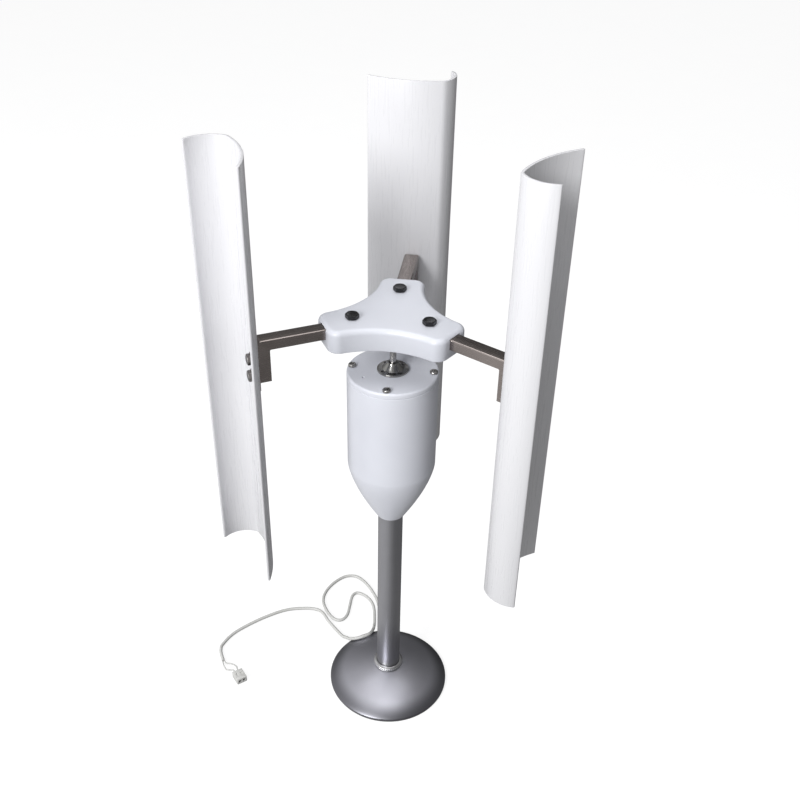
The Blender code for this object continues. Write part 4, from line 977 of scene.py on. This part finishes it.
def build_blades():
    """The three blades, each with two bolts and nuts that hold it to its arm."""
    rims = ((BLADE_TOP, 0.35, 2), (BLADE_BOTTOM, 0.35, 2))
    blade = extruded("blade", blade_outline(), BLADE_BOTTOM, BLADE_TOP, rims, 40)
    hole = turned("hole", [(BLADE_HOLE, 0.0), (BLADE_HOLE, 8.0)], 32)
    holes = [(hole, outward(ARM_FACE - 2.0, height)) for _, height in BLADE_BOLT_HEIGHTS]
    blade = cut(blade, holes, angle=40)
    radius, flange = BLADE_BOLT_RADIUS, BLADE_BOLT_FLANGE
    bolt = hex_bolt(BLADE_BOLT_FLATS, BLADE_BOLT_HEAD, radius, 0.0, -BLADE_BOLT_LENGTH, 0.8, flange)
    nut = hex_nut(BLADE_NUT_FLATS, radius, -BLADE_NUT_HEIGHT, 0.0)
    for number in range(BLADE_COUNT):
        around = turn(arm_angle(number))
        piece(f"blade_{number + 1}", blade, BLADE_WHITE, ROTOR, around)
        for row, height in BLADE_BOLT_HEIGHTS:
            bolt_place = around @ outward(ARM_FACE + BLADE_WALL + 0.8, height)
            nut_place = around @ outward(ARM_FACE - ARM_SHEET - GAP, height)
            for part, mesh, place in (("bolt", bolt, bolt_place), ("nut", nut, nut_place)):
                name = f"{row}_blade_{part}_{number + 1}"
                piece(name, mesh, BLADE_BOLT_STEEL, ROTOR, place)


# ---------------------------------------------------------------- cable


def smooth_path(points, steps):
    """A Catmull-Rom curve through the points."""
    path = []
    ends = [points[0] * 2 - points[1], *points, points[-1] * 2 - points[-2]]
    for a, b, c, d in zip(ends, ends[1:], ends[2:], ends[3:]):
        square = 2 * a - 5 * b + 4 * c - d
        cube = 3 * b - a - 3 * c + d
        for step in range(steps):
            t = step / steps
            path.append(0.5 * (2 * b + (c - a) * t + square * t**2 + cube * t**3))
    path.append(points[-1])
    return path


def round_section(radius, sides):
    angles = [2 * math.pi * side / sides for side in range(sides)]
    return [(radius * math.cos(angle), radius * math.sin(angle)) for angle in angles]


def resting_height(reach):
    """The height of the cable's middle where it lies on the base or on the ground."""
    highest = CABLE_FLOOR
    for step in range(-8, 9):
        offset = CABLE_RADIUS * step / 8
        if reach + offset <= BASE_RADIUS:
            lift = math.sqrt(CABLE_RADIUS**2 - offset**2)
            highest = max(highest, base_height(abs(reach + offset)) + lift)
    clear = max(0.0, reach - BASE_RADIUS)
    rim = base_height(BASE_RADIUS) + CABLE_RADIUS
    return max(highest, rim * math.exp(-((clear / 12.0) ** 2))) + 3 * GAP


def build_cable():
    """The cable, from inside the housing to its leads, and its grommet in the base."""
    ground = smooth_path([Vector((x, y, 0.0)) for x, y in CABLE_GROUND], 8)
    for point in ground:
        point.z = resting_height(point.xy.length)
    for point in ground[: len(ground) // 10]:
        point.z = CABLE_FLOOR + GAP
    path = smooth_path([Vector(point) for point in CABLE_DOWN], 5)[:-1] + ground
    cable = sweep("output_cable", path, round_section(CABLE_RADIUS - CABLE_INSET, 18))
    piece("output_cable", cable, CABLE_WHITE, STAND)
    profile = [
        (GROMMET_BORE, 0.0, 0.2),
        (GROMMET_OUTER, 0.0, 0.4),
        (GROMMET_OUTER, GROMMET_LENGTH, 0.4),
        (GROMMET_BORE, GROMMET_LENGTH, 0.2),
    ]
    grommet = turned("cable_grommet", rounded(profile, steps=3), 32, ring=True)
    lying = turn(EXIT_TURN) @ outward(BASE_RADIUS - 4.0, EXIT_HEIGHT)
    piece("cable_grommet", grommet, BLACK_RUBBER, STAND, lying)


def build_plug():
    """A two-way plug: a rounded white shell, with a contact window for each lead."""
    place = shift(*PLUG_BACK) @ turn(PLUG_TURN)
    half_width, half_height = PLUG_WIDTH / 2, PLUG_HEIGHT / 2
    body = block("body", (0, -half_width, -half_height), (PLUG_LENGTH, half_width, half_height), 0.8)
    entry = turned("entry", [(LEAD_RADIUS + 0.4, -2.0), (LEAD_RADIUS + 0.4, 4.0)], 20)
    opening = block("opening", (7.0, -1.6, -2.0), (PLUG_LENGTH + 2.0, 1.6, 2.0))
    window = block("window", (4.5, -1.1, half_height - 1.0), (8.5, 1.1, half_height + 1.0))
    groove_low = (9.6, -half_width - 1.0, half_height - 0.5)
    groove_high = (10.2, half_width + 1.0, half_height + 1.0)
    cutters = [(block("groove", groove_low, groove_high), Matrix.Identity(4))]
    for side in (1, -1):
        across = shift(0, side * PLUG_PITCH / 2, 0)
        cutters += [(entry, across @ outward(0, 0)), (opening, across), (window, across)]
    piece("cable_plug", cut(body, cutters), PLUG_WHITE, STAND, place)
    for number, side in enumerate((1, -1)):
        points = [Vector((x, y, CABLE_FLOOR + GAP)) for x, y in LEAD_STARTS[number]]
        offset = side * PLUG_PITCH / 2
        points += [1000 * (place @ Vector((x * MM, offset * MM, 0))) for x in (-5.0, -1.0, 3.0)]
        lead = sweep("lead", smooth_path(points, 8), round_section(LEAD_RADIUS, 14))
        piece(f"cable_lead_{number + 1}", lead, CABLE_WHITE, STAND)


# ---------------------------------------------------------------- the rest


def paint_cad():
    """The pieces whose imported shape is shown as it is."""
    looks = {
        "stator_core": LAMINATED,
        "bearing_bracket": BRACKET_METAL,
        "rotor_core": CORE_STEEL,
        "ring_magnet": FERRITE,
        "threaded_nipple": BRASS,
        "base_lock_nut": CORE_STEEL,
        "tube_plug": BRASS,
        "grub_screw": GRUB_STEEL,
    }
    looks |= {f"phase_coil_{number}": COPPER for number in (1, 2, 3)}
    for row in ("lower", "upper"):
        looks[f"{row}_bearing_outer_race"] = RACE_STEEL
        looks[f"{row}_bearing_inner_race"] = RACE_STEEL
    for name, material in looks.items():
        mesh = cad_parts[name].data
        mesh.materials.clear()
        mesh.materials.append(material)


def build_studio():
    """A pale floor, a soft room, a key light, a light overhead, and the camera."""
    build_floor()
    build_world()
    for name, place, size, power in LIGHTS:
        data = bpy.data.lights.new(name, "AREA")
        data.shape = "DISK"
        data.size = size
        data.energy = power
        light = bpy.data.objects.new(name, data)
        light.location = place
        aim = Vector(LIGHT_TARGET) - Vector(place)
        light.rotation_euler = aim.to_track_quat("-Z", "Y").to_euler()
        bpy.context.scene.collection.objects.link(light)
    build_camera()


def build_floor():
    """A pale sweep, lit partly from below so that shadows on it stay faint."""
    shader = Shader("studio_floor", lay=False)
    mottle = shader.spread(shader.noise((0.01, 0.01, 0.01), 3.0), 0.0, 1.0)
    pale = shader.blend(mottle, (0.28, 0.28, 0.28), (0.27, 0.27, 0.275))
    shader.set(Base_Color=pale, Roughness=0.8, Specular_IOR_Level=0.0)
    shader.set(Emission_Color=(1.0, 1.0, 1.0), Emission_Strength=0.82)
    bm = bmesh.new()
    bmesh.ops.create_circle(bm, cap_ends=True, segments=96, radius=FLOOR_RADIUS / MM)
    floor = bpy.data.objects.new("floor", mesh_of("floor", bm))
    floor.data.materials.append(shader.material)
    floor.visible_diffuse = False
    floor.visible_glossy = False
    bpy.context.scene.collection.objects.link(floor)


def build_world():
    """A soft room: brighter to the left, dark to the right and behind."""
    world = bpy.data.worlds.new("studio")
    bpy.context.scene.world = world
    world.use_nodes = True
    tree = world.node_tree

    def node(kind, **settings):
        made = tree.nodes.new(kind)
        for key, value in settings.items():
            setattr(made, key, value)
        return made

    def ranged(value, start, end, low, high):
        made = node("ShaderNodeMapRange", interpolation_type="SMOOTHSTEP")
        tree.links.new(value, made.inputs["Value"])
        for key, number in (("From Min", start), ("From Max", end), ("To Min", low), ("To Max", high)):
            made.inputs[key].default_value = number
        return made.outputs[0]

    def maths(operation, first, second):
        made = node("ShaderNodeMath", operation=operation)
        tree.links.new(first, made.inputs[0])
        tree.links.new(second, made.inputs[1])
        return made.outputs[0]

    split = node("ShaderNodeSeparateXYZ")
    tree.links.new(node("ShaderNodeTexCoord").outputs["Generated"], split.inputs[0])
    across, along = split.outputs[:2]
    side = ranged(across, 0.7, -0.8, ROOM_RIGHT, ROOM_LEFT)
    behind = ranged(along, 0.3, 0.95, 1.0, ROOM_BEHIND)
    glow = maths("MULTIPLY", side, behind)
    ray = node("ShaderNodeLightPath")
    mix = node("ShaderNodeMix", data_type="FLOAT")
    tree.links.new(ray.outputs["Is Camera Ray"], mix.inputs["Factor"])
    tree.links.new(glow, mix.inputs["A"])
    mix.inputs["B"].default_value = 1.0
    tint = node("ShaderNodeCombineColor")
    for channel in tint.inputs:
        tree.links.new(mix.outputs["Result"], channel)
    tree.links.new(tint.outputs[0], tree.nodes["Background"].inputs["Color"])


def build_camera():
    """A camera in front of the object and above it, which looks down at the hub."""
    data = bpy.data.cameras.new("camera")
    data.lens = CAMERA_LENS
    data.sensor_width = CAMERA_SENSOR
    data.shift_x, data.shift_y = CAMERA_SHIFT
    data.clip_start = 0.01
    data.clip_end = 100.0
    camera = bpy.data.objects.new("camera", data)
    camera.location = CAMERA_PLACE
    camera.rotation_euler = (math.radians(90 - CAMERA_DOWN), 0.0, math.radians(CAMERA_TURN))
    bpy.context.scene.collection.objects.link(camera)
    bpy.context.scene.camera = camera
    bpy.context.scene.view_settings.view_transform = "Standard"


def main():
    build_base()
    build_base_fillings()
    build_tube()
    build_collar()
    build_housing()
    build_cover()
    build_flange()
    build_hub()
    build_hub_bolts()
    build_shaft()
    build_arms()
    build_blades()
    build_cable()
    build_plug()
    paint_cad()
    build_studio()


main()
